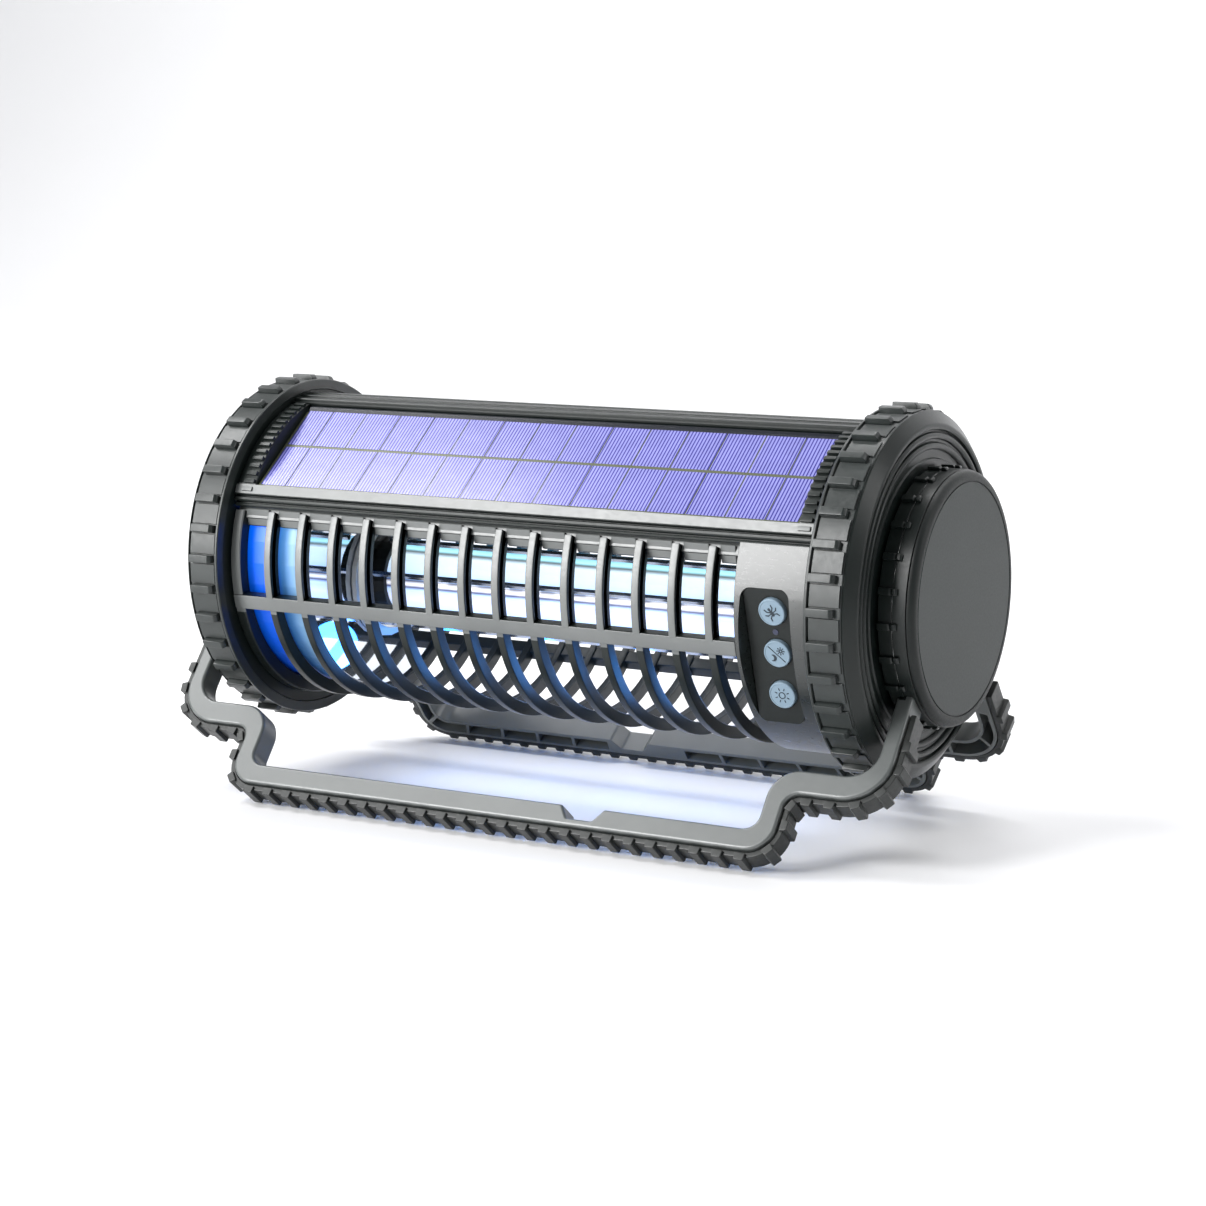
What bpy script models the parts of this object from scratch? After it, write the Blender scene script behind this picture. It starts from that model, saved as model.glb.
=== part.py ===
"""Electric bug zapper: a horizontal caged lamp between two ribbed bumper rings,
with a solar panel on its upper front and two folding legs that meet as a handle.

Metres, +Z up, length along X, front at -Y. The origin is on the floor, under the
middle of the object. Pieces are laid out around the lamp's axis, which runs along X
at the height AXIS_Z. Angles round that axis start at the front and go down.
"""

import math

import bmesh
import bpy
from mathutils import Matrix, Vector

MM = 0.001
GAP = 0.3 * MM

# ---- Driving dimensions -------------------------------------------------------
RING_R = 60 * MM
RING_RIB_R = 62 * MM
RING_RIBS = 36
RING_RIB_W = 2.8 * MM
RING_BORE = 57 * MM
RING_IN = 112.2 * MM
RING_OUT = 124.65 * MM

END_FACE = 128.4 * MM
END_BORE = 12.3 * MM
END_WALL_IN = 125.4 * MM
END_SKIRT_IN = 114.7 * MM
END_SKIRT_R = 53.4 * MM
END_LIP_R = 49 * MM
CHAMFER_R = 55.2 * MM
RIDGE_TOPS = (53.0 * MM, 50.2 * MM)
GROOVE_DEPTH = 1.3 * MM
FLAT_R = 47.6 * MM
SPIGOT_R = 12 * MM
SCREW_R = 2 * MM
SCREW_HEAD_R = 4.4 * MM
SCREW_HEAD_X = 131.3 * MM
COLLAR_R = 42 * MM
COLLAR_BORE = 30.4 * MM
COLLAR_W = 3.9 * MM
REAR_COLLAR_X = 128.8 * MM
FRONT_COLLAR_X = 133.9 * MM
WASHER_X = 133.0 * MM
WASHER_T = 0.6 * MM
WASHER_R = 41.4 * MM
AXLE_R = 30 * MM
CAP_BACK = 138.2 * MM
CAP_FACE = 140.6 * MM
CAP_R = 41 * MM
CAP_CHAMFER = (2.0 * MM, 3.6 * MM)

LEG_ANGLE = math.radians(52)
LEG_INNER_FACE = -1.0 * MM
LEG_OUTER_FACE = 8.2 * MM
LEG_ARM_OUT = 136.8 * MM
LEG_ARM_IN = 131.4 * MM
ROOT_R = COLLAR_R + 0.7 * MM
NECK_R = 39 * MM
REAR_ROOT_X = 130.2 * MM
LEG_STEP_IN = 69.9 * MM
LEG_STEP_OUT = 78.0 * MM
LEG_DROP_IN = 97.8 * MM
LEG_DROP_OUT = 104.4 * MM
LEG_BAR_IN = 91.8 * MM
LEG_BAR_OUT = 99.0 * MM
NOTCH_HALF = 7.8 * MM
NOTCH_FLOOR_HALF = 4.6 * MM
NOTCH_DEPTH = 4.5 * MM
FRONT_NOTCH_X = 35.7 * MM
REAR_NOTCH_X = -14.0 * MM
TREAD_T = 1.5 * MM
TREAD_RIB_H = 3.6 * MM
TREAD_RIB_W = 2.3 * MM
TREAD_PITCH = 7.9 * MM
TREAD_OUTER_FACE = 7.6 * MM
TREAD_START = 6 * MM

SOLAR_TILT = math.radians(38)
CELL_PLANE = 50.5 * MM
LAMINATE_T = 2.2 * MM
LAMINATE_HALF_W = 20.6 * MM
LAMINATE_HALF_L = 104.2 * MM
BODY_END = 111.9 * MM
FRAME_R = 55.8 * MM

CAGE_OUT = 52.8 * MM
CAGE_IN = 48.4 * MM
CAGE_RIBS = 14
CAGE_FIRST = -96.0 * MM
CAGE_PITCH = 13.2 * MM
CAGE_RIB_W = 2.8 * MM
CAGE_STEPS = 18
CAGE_EDGE_X = -107.6 * MM
CAGE_START = math.radians(-23.2)
CAGE_STOP = math.radians(265.5)
# Each bar's name, inner and outer radius in millimetres, and first and last degree.
CAGE_BARS = (
    ("front_bar", 49.0, 53.4, 11.8, 17.4),
    ("rear_bar", 49.0, 53.4, 129.5, 135.1),
    ("top_front_bar", 48.2, 51.2, -23.6, -19.0),
    ("top_rear_bar", 48.2, 53.1, 260.5, 265.9),
)

HOUSING_X = 85.0 * MM
HOUSING_R = 54 * MM
HOUSING_WALL = 2.6 * MM
BULKHEAD_IN = 87.2 * MM
POCKET_WALL = 2 * MM
POCKET_END = 105 * MM
PANEL_ANGLE = math.radians(16.5)
PANEL_FACE = 49.1 * MM
PANEL_T = 1.2 * MM
POCKET_X = (87.5 * MM, 102.8 * MM)
POCKET_U = (-22.0 * MM, 25.0 * MM)
BUTTON_X = 97.5 * MM
BUTTON_PITCH = 14.4 * MM
BUTTON_R = 4.6 * MM
BUTTON_FACE = 50.5 * MM
BUTTON_BACK = 43.9 * MM
FLANGE_R = 6 * MM
LED_R = 1.0 * MM
LED_HOLE_R = 1.4 * MM
SWITCH_BACK = 39.7 * MM
SWITCH_TOP = 42.7 * MM
BOARD_TOP = 39.4 * MM

CELL_R = 9.1 * MM
CELL_HALF = 32.5 * MM
CELLS_X = 99 * MM
CELLS_Y = (6 * MM, 26 * MM)

DRUM_R = 47.8 * MM
DRUM_X = -83.0 * MM
DRUM_BORE = 45.4 * MM
DRUM_FLAT = 44.2 * MM
DRUM_WALL = 2.2 * MM
WIRE_HOLE_R = 4 * MM
LAMP_DROP = 8.4 * MM
LAMP_R = 13 * MM
LAMP_WALL = 1.5 * MM
SOCKET_R = 15.2 * MM
SOCKET_RIM_R = 15.6 * MM
LAMP_ENDS = (-78.6 * MM, 80.6 * MM)
SOCKET_ENDS = (("left", -1, 82.6 * MM), ("right", 1, 84.6 * MM))
INSULATOR_R = (16 * MM, 22 * MM)
GRID_R = 17 * MM
GRID_RODS = 4
GRID_TURN = math.radians(-10)
ROD_R = 1.1 * MM

# The legs' tread tips stand on the floor.
FOOT_R = LEG_BAR_OUT + TREAD_RIB_H
FOOT_T = LEG_INNER_FACE + 0.2 * MM
AXIS_Z = FOOT_R * math.sin(LEG_ANGLE) - FOOT_T * math.cos(LEG_ANGLE)

# ---- Scene --------------------------------------------------------------------
for old in list(bpy.data.objects):
    bpy.data.objects.remove(old, do_unlink=True)

PARTS = bpy.data.collections.new("electric_bug_zapper")
CUTTERS = bpy.data.collections.new("cutters")
for collection in (PARTS, CUTTERS):
    bpy.context.scene.collection.children.link(collection)

# Columns of each frame: where the outline's two axes and its depth point.
AXIS = Matrix.Translation((0, 0, AXIS_Z))
ALONG_X = AXIS @ Matrix(((0, 0, 1, 0), (1, 0, 0, 0), (0, 1, 0, 0), (0, 0, 0, 1)))
LAMP_AXIS = Matrix.Translation((0, 0, AXIS_Z - LAMP_DROP))


def facing(angle):
    """A frame with its depth pointing out of the axis at this angle below the front,
    its first axis along -X and its second down the surface."""
    out = Vector((0, -math.cos(angle), -math.sin(angle)))
    down = Vector((0, math.sin(angle), -math.cos(angle)))
    frame = Matrix.Identity(4)
    frame.col[0].xyz = (-1, 0, 0)
    frame.col[1].xyz = down
    frame.col[2].xyz = out
    return AXIS @ frame


def leg_frame(side):
    """A leg's own plane: first axis along X, second out from the hinge, and depth
    towards the leg's smooth face. side is -1 for the front leg, whose first axis is
    -X, and 1 for the rear."""
    frame = Matrix.Identity(4)
    frame.col[0].xyz = (side, 0, 0)
    frame.col[1].xyz = (0, side * math.cos(LEG_ANGLE), -math.sin(LEG_ANGLE))
    frame.col[2].xyz = (0, side * math.sin(LEG_ANGLE), math.cos(LEG_ANGLE))
    return AXIS @ frame


# ---- Materials ----------------------------------------------------------------
def material(name, colour, roughness, metallic=0.0, glow=0.0):
    made = bpy.data.materials.new(name)
    made.use_nodes = True
    shader = made.node_tree.nodes["Principled BSDF"]
    shader.inputs["Base Color"].default_value = (*colour, 1)
    shader.inputs["Roughness"].default_value = roughness
    shader.inputs["Metallic"].default_value = metallic
    if glow:
        shader.inputs["Emission Color"].default_value = (*colour, 1)
        shader.inputs["Emission Strength"].default_value = glow
    return made


BLACK_ABS = material("black_abs", (0.022, 0.028, 0.027), 0.38)
DARK_ABS = material("dark_abs", (0.012, 0.016, 0.015), 0.45)
GREY_ABS = material("grey_satin_abs", (0.16, 0.17, 0.165), 0.32)
RUBBER = material("black_rubber", (0.011, 0.014, 0.013), 0.6)
CELLS = material("solar_cells", (0.12, 0.10, 0.55), 0.22)
KEYS = material("blue_grey_keys", (0.30, 0.40, 0.48), 0.4)
STEEL = material("steel", (0.62, 0.62, 0.6), 0.28, 1.0)
DIFFUSER = material("lamp_diffuser", (0.62, 0.82, 1.0), 0.3, 0.0, 6.0)
CLEAR = material("clear_lens", (0.5, 0.7, 0.9), 0.1)
BOARD = material("circuit_board", (0.01, 0.14, 0.05), 0.45)
CELL_WRAP = material("battery_wrap", (0.05, 0.18, 0.42), 0.35)
CERAMIC = material("insulator", (0.72, 0.72, 0.68), 0.5)


# ---- Outline helpers ----------------------------------------------------------
def polar(radius, angle):
    """(y, z) at this radius, at an angle that starts at the front and goes down."""
    return (-radius * math.cos(angle), -radius * math.sin(angle))


def arc(radius, start, stop, steps):
    span = stop - start
    return [polar(radius, start + span * i / steps) for i in range(steps + 1)]


def circle(radius, steps, centre=(0, 0)):
    return [
        (
            centre[0] + radius * math.cos(math.tau * i / steps),
            centre[1] + radius * math.sin(math.tau * i / steps),
        )
        for i in range(steps)
    ]


def band(inner, outer, start, stop, steps):
    """A closed arc-shaped strip between two radii."""
    return arc(outer, start, stop, steps) + arc(inner, stop, start, steps)


def box_outline(low_a, high_a, low_b, high_b):
    return [(low_a, low_b), (high_a, low_b), (high_a, high_b), (low_a, high_b)]


def rounded(corners, steps=5):
    """An open path of (a, b, radius) corners, each rounded by an arc."""
    path = [Vector(corners[0][:2])]
    for before, here, after in zip(corners, corners[1:], corners[2:]):
        corner = Vector(here[:2])
        towards = (Vector(before[:2]) - corner).normalized()
        onwards = (Vector(after[:2]) - corner).normalized()
        half = towards.angle(onwards) / 2
        centre = corner + (towards + onwards).normalized() * here[2] / math.sin(half)
        first = corner + towards * here[2] / math.tan(half) - centre
        last = corner + onwards * here[2] / math.tan(half) - centre
        turn = first.angle_signed(last)
        for i in range(steps + 1):
            path.append(centre + first @ Matrix.Rotation(turn * i / steps, 2))
    path.append(Vector(corners[-1][:2]))
    return path


def solar(slope, height):
    """(y, z) of a point given along the panel's slope and above the lamp's axis."""
    c, s = math.cos(SOLAR_TILT), math.sin(SOLAR_TILT)
    return (slope * c - height * s, slope * s + height * c)


def solar_polar(radius, degrees):
    """(y, z) at an angle from the panel's normal, positive up the slope."""
    turn = math.radians(degrees)
    return solar(radius * math.sin(turn), radius * math.cos(turn))


# ---- Solid helpers ------------------------------------------------------------
def as_mesh(obj, frame, look, cutter=False):
    """Replaces an object by its evaluated mesh: welded, facing out and shaded."""
    name = obj.name
    graph = bpy.context.evaluated_depsgraph_get()
    mesh = bpy.data.meshes.new_from_object(obj.evaluated_get(graph))
    bpy.data.objects.remove(obj, do_unlink=True)
    shape = bmesh.new()
    shape.from_mesh(mesh)
    bmesh.ops.remove_doubles(shape, verts=shape.verts, dist=1e-6)
    bmesh.ops.recalc_face_normals(shape, faces=shape.faces)
    shape.to_mesh(mesh)
    shape.free()
    mesh.name = name
    mesh.materials.clear()
    mesh.materials.append(look)
    mesh.shade_smooth()
    mesh.set_sharp_from_angle(angle=math.radians(30))
    made = bpy.data.objects.new(name, mesh)
    made.matrix_world = frame
    (CUTTERS if cutter else PARTS).objects.link(made)
    if cutter:
        made.hide_render = True
        made.display_type = "WIRE"
    return made


def prism(name, outlines, low, high, frame, look=BLACK_ABS, cutter=False):
    """A flat outline, with any holes in it, given a thickness from low to high."""
    curve = bpy.data.curves.new(name, "CURVE")
    curve.dimensions = "2D"
    curve.fill_mode = "BOTH"
    curve.extrude = (high - low) / 2
    for outline in outlines:
        spline = curve.splines.new("POLY")
        spline.points.add(len(outline) - 1)
        for point, (a, b) in zip(spline.points, outline):
            point.co = (a, b, 0, 1)
        spline.use_cyclic_u = True
    obj = bpy.data.objects.new(name, curve)
    bpy.context.scene.collection.objects.link(obj)
    bpy.context.view_layer.update()
    made = as_mesh(obj, frame, look, cutter)
    made.data.transform(Matrix.Translation((0, 0, (low + high) / 2)))
    return made


def turned(name, profile, look=BLACK_ABS, side=1, steps=40, cutter=False, frame=AXIS):
    """A closed (x, radius) profile turned about the frame's X. side -1 mirrors it."""
    mesh = bpy.data.meshes.new(name)
    shape = bmesh.new()
    ring = [shape.verts.new((side * x, 0, r)) for x, r in profile]
    for a, b in zip(ring, ring[1:] + ring[:1]):
        shape.edges.new((a, b))
    shape.to_mesh(mesh)
    shape.free()
    obj = bpy.data.objects.new(name, mesh)
    bpy.context.scene.collection.objects.link(obj)
    screw = obj.modifiers.new("turn", "SCREW")
    screw.axis = "X"
    screw.steps = screw.render_steps = steps
    screw.use_merge_vertices = True
    screw.merge_threshold = 1e-5
    bpy.context.view_layer.update()
    return as_mesh(obj, frame, look, cutter)


def cylinder(name, radius, low, high, frame, look=BLACK_ABS, cutter=False, sides=24):
    return prism(name, [circle(radius, sides)], low, high, frame, look, cutter)


def boolean(target, tool, operation):
    change = target.modifiers.new(tool.name, "BOOLEAN")
    change.operation = operation
    change.object = tool


def merged(name, objects, cutter=True):
    """One helper object holding several solids that don't touch each other."""
    shape = bmesh.new()
    for obj in objects:
        obj.data.transform(AXIS.inverted() @ obj.matrix_world)
        shape.from_mesh(obj.data)
        bpy.data.objects.remove(obj, do_unlink=True)
    mesh = bpy.data.meshes.new(name)
    shape.to_mesh(mesh)
    shape.free()
    made = bpy.data.objects.new(name, mesh)
    made.matrix_world = AXIS
    (CUTTERS if cutter else PARTS).objects.link(made)
    made.hide_render = cutter
    made.display_type = "WIRE" if cutter else "TEXTURED"
    return made


def shift(frame, first=0.0, second=0.0):
    return frame @ Matrix.Translation((first, second, 0))


# ---- Bumper rings and ends ----------------------------------------------------
def toothed(radius, tip, count, width, first):
    """A circle's outline with square ribs round it."""
    outline = []
    for i in range(count):
        middle = first + math.tau * i / count
        half = width / 2 / radius
        outline.append(polar(radius, middle - half))
        outline.append(polar(tip, middle - half))
        outline.append(polar(tip, middle + half))
        outline.append(polar(radius, middle + half))
    return outline


def bumper_ring(name, side):
    outline = toothed(RING_R, RING_RIB_R, RING_RIBS, RING_RIB_W, math.radians(8))
    low, high = sorted((side * RING_IN, side * RING_OUT))
    prism(name, [outline, circle(RING_BORE, 48)], low, high, ALONG_X, RUBBER)


def end_housing(name, side):
    """A turned cup with a chamfered rim and stepped ridges round its hub."""
    ridges = []
    for top in RIDGE_TOPS:
        ridges += [(END_FACE, top), (END_FACE - GROOVE_DEPTH, top - 0.7 * MM)]
    profile = (
        [(RING_IN + GAP, END_LIP_R), (RING_IN + GAP, RING_BORE - GAP)]
        + [(RING_OUT + GAP, RING_BORE - GAP), (RING_OUT + GAP, RING_R - 0.2 * MM)]
        + [(END_FACE - 0.2 * MM, CHAMFER_R)]
        + ridges
        + [(END_FACE, FLAT_R), (END_FACE, END_BORE), (END_WALL_IN, END_BORE)]
        + [(END_WALL_IN, END_SKIRT_R), (END_SKIRT_IN, END_SKIRT_R)]
        + [(END_SKIRT_IN, END_LIP_R)]
    )
    turned(name, profile, BLACK_ABS, side, 36)


def hub(prefix, side):
    """The fixed axle that the legs' collars turn on, its washer, screw and cap."""
    bore = SCREW_R + GAP
    floor = SCREW_HEAD_X - GAP
    axle = (
        [(118 * MM, bore), (118 * MM, SPIGOT_R), (END_FACE + GAP, SPIGOT_R)]
        + [(END_FACE + GAP, AXLE_R), (CAP_BACK - GAP, AXLE_R)]
        + [(CAP_BACK - GAP, AXLE_R - 3 * MM), (floor, AXLE_R - 3 * MM), (floor, bore)]
    )
    turned(prefix + "_hub_axle", axle, DARK_ABS, side, 24)
    washer = [(WASHER_X, COLLAR_BORE), (WASHER_X, WASHER_R)]
    washer += [(WASHER_X + WASHER_T, WASHER_R), (WASHER_X + WASHER_T, COLLAR_BORE)]
    turned(prefix + "_friction_washer", washer, STEEL, side, 30)
    head = SCREW_HEAD_X + 2.1 * MM
    screw = [(120 * MM, 0), (120 * MM, SCREW_R), (SCREW_HEAD_X, SCREW_R)]
    screw += [(SCREW_HEAD_X, SCREW_HEAD_R), (head, SCREW_HEAD_R), (head + 0.8 * MM, 0)]
    turned(prefix + "_axle_screw", screw, STEEL, side, 12)
    depth, width = CAP_CHAMFER
    cap = [(CAP_BACK, 0), (CAP_BACK, CAP_R), (CAP_FACE - depth, CAP_R)]
    cap += [(CAP_FACE, CAP_R - width), (CAP_FACE, 0)]
    turned(prefix + "_hub_cap", cap, BLACK_ABS, side, 48)


# ---- Legs ---------------------------------------------------------------------
def leg_edge(outer):
    """One half of a leg's outer or inner edge, from its hub to the middle of its bar,
    as (along X, out from the hinge)."""
    if outer:
        corners = [(LEG_ARM_OUT, ROOT_R, 0), (LEG_ARM_OUT, LEG_STEP_OUT, 15 * MM)]
        corners += [(LEG_DROP_OUT, LEG_STEP_OUT, 5 * MM)]
        corners += [(LEG_DROP_OUT, LEG_BAR_OUT, 9 * MM), (0, LEG_BAR_OUT, 0)]
    else:
        corners = [(LEG_ARM_IN, ROOT_R, 0), (LEG_ARM_IN, LEG_STEP_IN, 9.5 * MM)]
        corners += [(LEG_DROP_IN, LEG_STEP_IN, 10 * MM)]
        corners += [(LEG_DROP_IN, LEG_BAR_IN, 5 * MM), (0, LEG_BAR_IN, 0)]
    return rounded(corners)[:-1]


def notch(middle):
    """The finger notch in the bar's inner edge, from +X to -X."""
    deep = LEG_BAR_IN + NOTCH_DEPTH
    return [
        (middle + NOTCH_HALF, LEG_BAR_IN),
        (middle + NOTCH_FLOOR_HALF, deep),
        (middle - NOTCH_FLOOR_HALF, deep),
        (middle - NOTCH_HALF, LEG_BAR_IN),
    ]


def leg(name, side, collar_x, root, notch_x):
    """A stepped U in one plane, with a collar at each end that turns on the hubs.
    root is the outline where the arm enters its collar."""
    inner = [tuple(p) for p in leg_edge(False)[1:]]
    right = root + [tuple(p) for p in leg_edge(True)[1:]]
    left = [(-x, r) for x, r in reversed(right)]
    left_inner = [(-x, r) for x, r in inner]
    outline = right + left + left_inner
    outline += notch(side * notch_x)[::-1] + inner[::-1]
    body = prism(
        name, [outline], LEG_INNER_FACE, LEG_OUTER_FACE, leg_frame(side), GREY_ABS
    )
    ends = []
    for end in (-1, 1):
        profile = [(collar_x, COLLAR_BORE), (collar_x, COLLAR_R)]
        profile += [(collar_x + COLLAR_W, COLLAR_R), (collar_x + COLLAR_W, COLLAR_BORE)]
        ends.append(turned(f"{name}_collar_{end}", profile, GREY_ABS, end, 30, True))
    boolean(body, merged(name + "_collars", ends), "UNION")


def leg_tread(name, side):
    """The ribbed rubber strip round a leg's outer edge."""
    half = rounded(
        [(LEG_ARM_OUT, 46 * MM, 0), (LEG_ARM_OUT, LEG_STEP_OUT, 15 * MM)]
        + [(LEG_DROP_OUT, LEG_STEP_OUT, 5 * MM), (LEG_DROP_OUT, LEG_BAR_OUT, 9 * MM)]
        + [(0, LEG_BAR_OUT, 0)],
        6,
    )[:-1]
    path = half + [Vector((-p.x, p.y)) for p in reversed(half)]
    lengths = [0.0]
    for a, b in zip(path, path[1:]):
        lengths.append(lengths[-1] + (b - a).length)
    total = lengths[-1]

    def at(distance, out):
        """The point this far along the edge, moved out by this much."""
        i = 0
        while i < len(path) - 2 and lengths[i + 1] < distance:
            i += 1
        step = path[i + 1] - path[i]
        here = path[i] + step * ((distance - lengths[i]) / step.length)
        normal = Vector((-step.y, step.x)).normalized()
        return tuple(here - normal * out)

    count = int((total - 2 * TREAD_START) / TREAD_PITCH)
    first = (total - (count - 1) * TREAD_PITCH) / 2
    marks = [(distance, TREAD_T) for distance in lengths]
    ribs = [first + i * TREAD_PITCH for i in range(count)]
    clear = TREAD_RIB_W / 2 + 0.8 * MM
    marks = [m for m in marks if all(abs(m[0] - rib) > clear for rib in ribs)]
    for rib in ribs:
        low, high = rib - TREAD_RIB_W / 2, rib + TREAD_RIB_W / 2
        marks += [(low, TREAD_T), (low + 1e-7, TREAD_RIB_H)]
        marks += [(high - 1e-7, TREAD_RIB_H), (high, TREAD_T)]
    outer = [at(distance, out) for distance, out in sorted(marks)]
    inner = [at(distance, GAP) for distance in reversed(lengths)]
    prism(
        name, [outer + inner], FOOT_T, TREAD_OUTER_FACE, leg_frame(side), RUBBER
    )


# ---- Solar panel --------------------------------------------------------------
def solar_frame():
    """One long moulding: seat for the panel, bevelled lower edge and ribbed top edge."""
    wall = LAMINATE_HALF_W + GAP
    seat = CELL_PLANE - LAMINATE_T - GAP
    section = [solar(-23.4 * MM, 44.6 * MM), solar_polar(54.4 * MM, -27.7)]
    section += [solar_polar(FRAME_R, -26.5), solar(-wall, 51 * MM), solar(-wall, seat)]
    section += [solar(wall, seat), solar(wall, 51.4 * MM)]
    for middle in (25.5, 30.0, 34.5):
        section += [solar_polar(55.0 * MM, middle - 1.3), solar_polar(56.2 * MM, middle - 1)]
        section += [solar_polar(56.2 * MM, middle + 1), solar_polar(55.0 * MM, middle + 1.3)]
    section += [solar_polar(55.0 * MM, 38), solar_polar(54.6 * MM, 41)]
    section += [solar_polar(48.5 * MM, 41), solar_polar(48.5 * MM, 30)]
    section += [solar(18 * MM, 45 * MM)]
    frame = prism("solar_frame", [section], -BODY_END, BODY_END, ALONG_X)

    cheek = [solar(22 * MM, 46.5 * MM), solar(-22 * MM, 46.5 * MM)]
    teeth = 15
    span = 47.0
    for i in range(teeth):
        low = -25.0 + span * i / teeth
        cheek += [solar_polar(55.1 * MM, low), solar_polar(56.1 * MM, low + 0.2)]
        cheek += [solar_polar(56.1 * MM, low + 1.5), solar_polar(55.1 * MM, low + 1.7)]
    cheeks = []
    for side in (-1, 1):
        low, high = sorted((side * (LAMINATE_HALF_L + GAP), side * (BODY_END - 0.1 * MM)))
        cheeks.append(prism(f"cheek_{side}", [cheek], low, high, ALONG_X, cutter=True))
    boolean(frame, merged("solar_frame_cheeks", cheeks), "UNION")


def solar_panel():
    face = box_outline(
        -LAMINATE_HALF_W, LAMINATE_HALF_W, CELL_PLANE - LAMINATE_T, CELL_PLANE
    )
    outline = [solar(s, h) for s, h in face]
    low, high = -LAMINATE_HALF_L, LAMINATE_HALF_L
    prism("solar_panel", [outline], low, high, ALONG_X, CELLS)
    tray = [solar(s, h) for s, h in box_outline(-17 * MM, 17 * MM, 43 * MM, 44.6 * MM)]
    prism("solar_back_tray", [tray], DRUM_X + 1 * MM, 84 * MM, ALONG_X, DARK_ABS)


# ---- Guard cage ---------------------------------------------------------------
def guard_cage():
    """Hoops round the lamp, joined by bars that run along its length."""
    hoops = []
    for i in range(CAGE_RIBS):
        x = CAGE_FIRST + CAGE_PITCH * i
        outline = band(CAGE_IN, CAGE_OUT, CAGE_START, CAGE_STOP, CAGE_STEPS)
        low, high = x - CAGE_RIB_W / 2, x + CAGE_RIB_W / 2
        hoops.append(prism(f"hoop_{i}", [outline], low, high, ALONG_X, cutter=True))
    edge = band(CAGE_IN, CAGE_OUT, CAGE_START, CAGE_STOP, CAGE_STEPS)
    hoops.append(
        prism("edge_hoop", [edge], -BODY_END, CAGE_EDGE_X, ALONG_X, cutter=True)
    )
    bars = []
    for name, inner, outer, start, stop in CAGE_BARS:
        outline = band(inner * MM, outer * MM, math.radians(start), math.radians(stop), 1)
        low, high = -BODY_END + 0.2 * MM, HOUSING_X - GAP
        bars.append(prism(name, [outline], low, high, ALONG_X, cutter=True))
    cage = merged("guard_cage", hoops, cutter=False)
    cage.data.materials.append(BLACK_ABS)
    boolean(cage, merged("cage_bars", bars), "UNION")


# ---- Control housing ----------------------------------------------------------
def control_housing():
    """A drum with a bulkhead facing the lamp and a flat-floored pocket for the keys."""
    shell = band(HOUSING_R - HOUSING_WALL, HOUSING_R, CAGE_START, CAGE_STOP, 32)
    housing = prism("control_housing", [shell], HOUSING_X, BODY_END, ALONG_X)

    rim = HOUSING_R - HOUSING_WALL + 0.5 * MM
    outline = arc(rim, math.radians(-20.2), math.radians(265), 24)
    outline += [solar_polar(47.6 * MM, 42), solar_polar(47.6 * MM, 30)]
    outline += [solar(17.7 * MM, 44.2 * MM)]
    hole = circle(SOCKET_R - 3 * MM, 24, (0, -LAMP_DROP))
    bulkhead = prism(
        "housing_bulkhead", [outline, hole], HOUSING_X + 0.1 * MM, BULKHEAD_IN,
        ALONG_X, cutter=True,
    )
    boolean(housing, bulkhead, "UNION")

    floor = PANEL_FACE - PANEL_T - 0.3 * MM
    back = floor - POCKET_WALL
    reach = HOUSING_R - 0.9 * MM
    half_up = math.asin(24.5 * MM / reach)
    half_down = math.asin(27.5 * MM / reach)
    start, stop = PANEL_ANGLE - half_up, PANEL_ANGLE + half_down
    block = arc(reach, start, stop, 6)
    for edge in (stop, start):
        tilt = edge - PANEL_ANGLE
        block.append(polar(back / math.cos(tilt), edge))
    low, high = HOUSING_X + 0.15 * MM, POCKET_END
    boolean(
        housing, prism("pocket_block", [block], low, high, ALONG_X, cutter=True), "UNION"
    )

    out = facing(PANEL_ANGLE)
    pocket = prism(
        "pocket_cut", [box_outline(-POCKET_X[1], -POCKET_X[0], *POCKET_U)],
        floor, 60 * MM, out, cutter=True,
    )
    boolean(housing, pocket, "DIFFERENCE")
    holes = [
        cylinder(
            f"key_hole_{i}", BUTTON_R + 0.4 * MM, back - 3 * MM, floor + 1 * MM,
            shift(out, -BUTTON_X, i * BUTTON_PITCH), cutter=True,
        )
        for i in (-1, 0, 1)
    ]
    holes.append(
        cylinder(
            "led_hole", LED_HOLE_R, back - 3 * MM, floor + 1 * MM,
            shift(out, -BUTTON_X, -BUTTON_PITCH / 2), cutter=True, sides=12,
        )
    )
    boolean(housing, merged("key_holes", holes), "DIFFERENCE")


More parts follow.
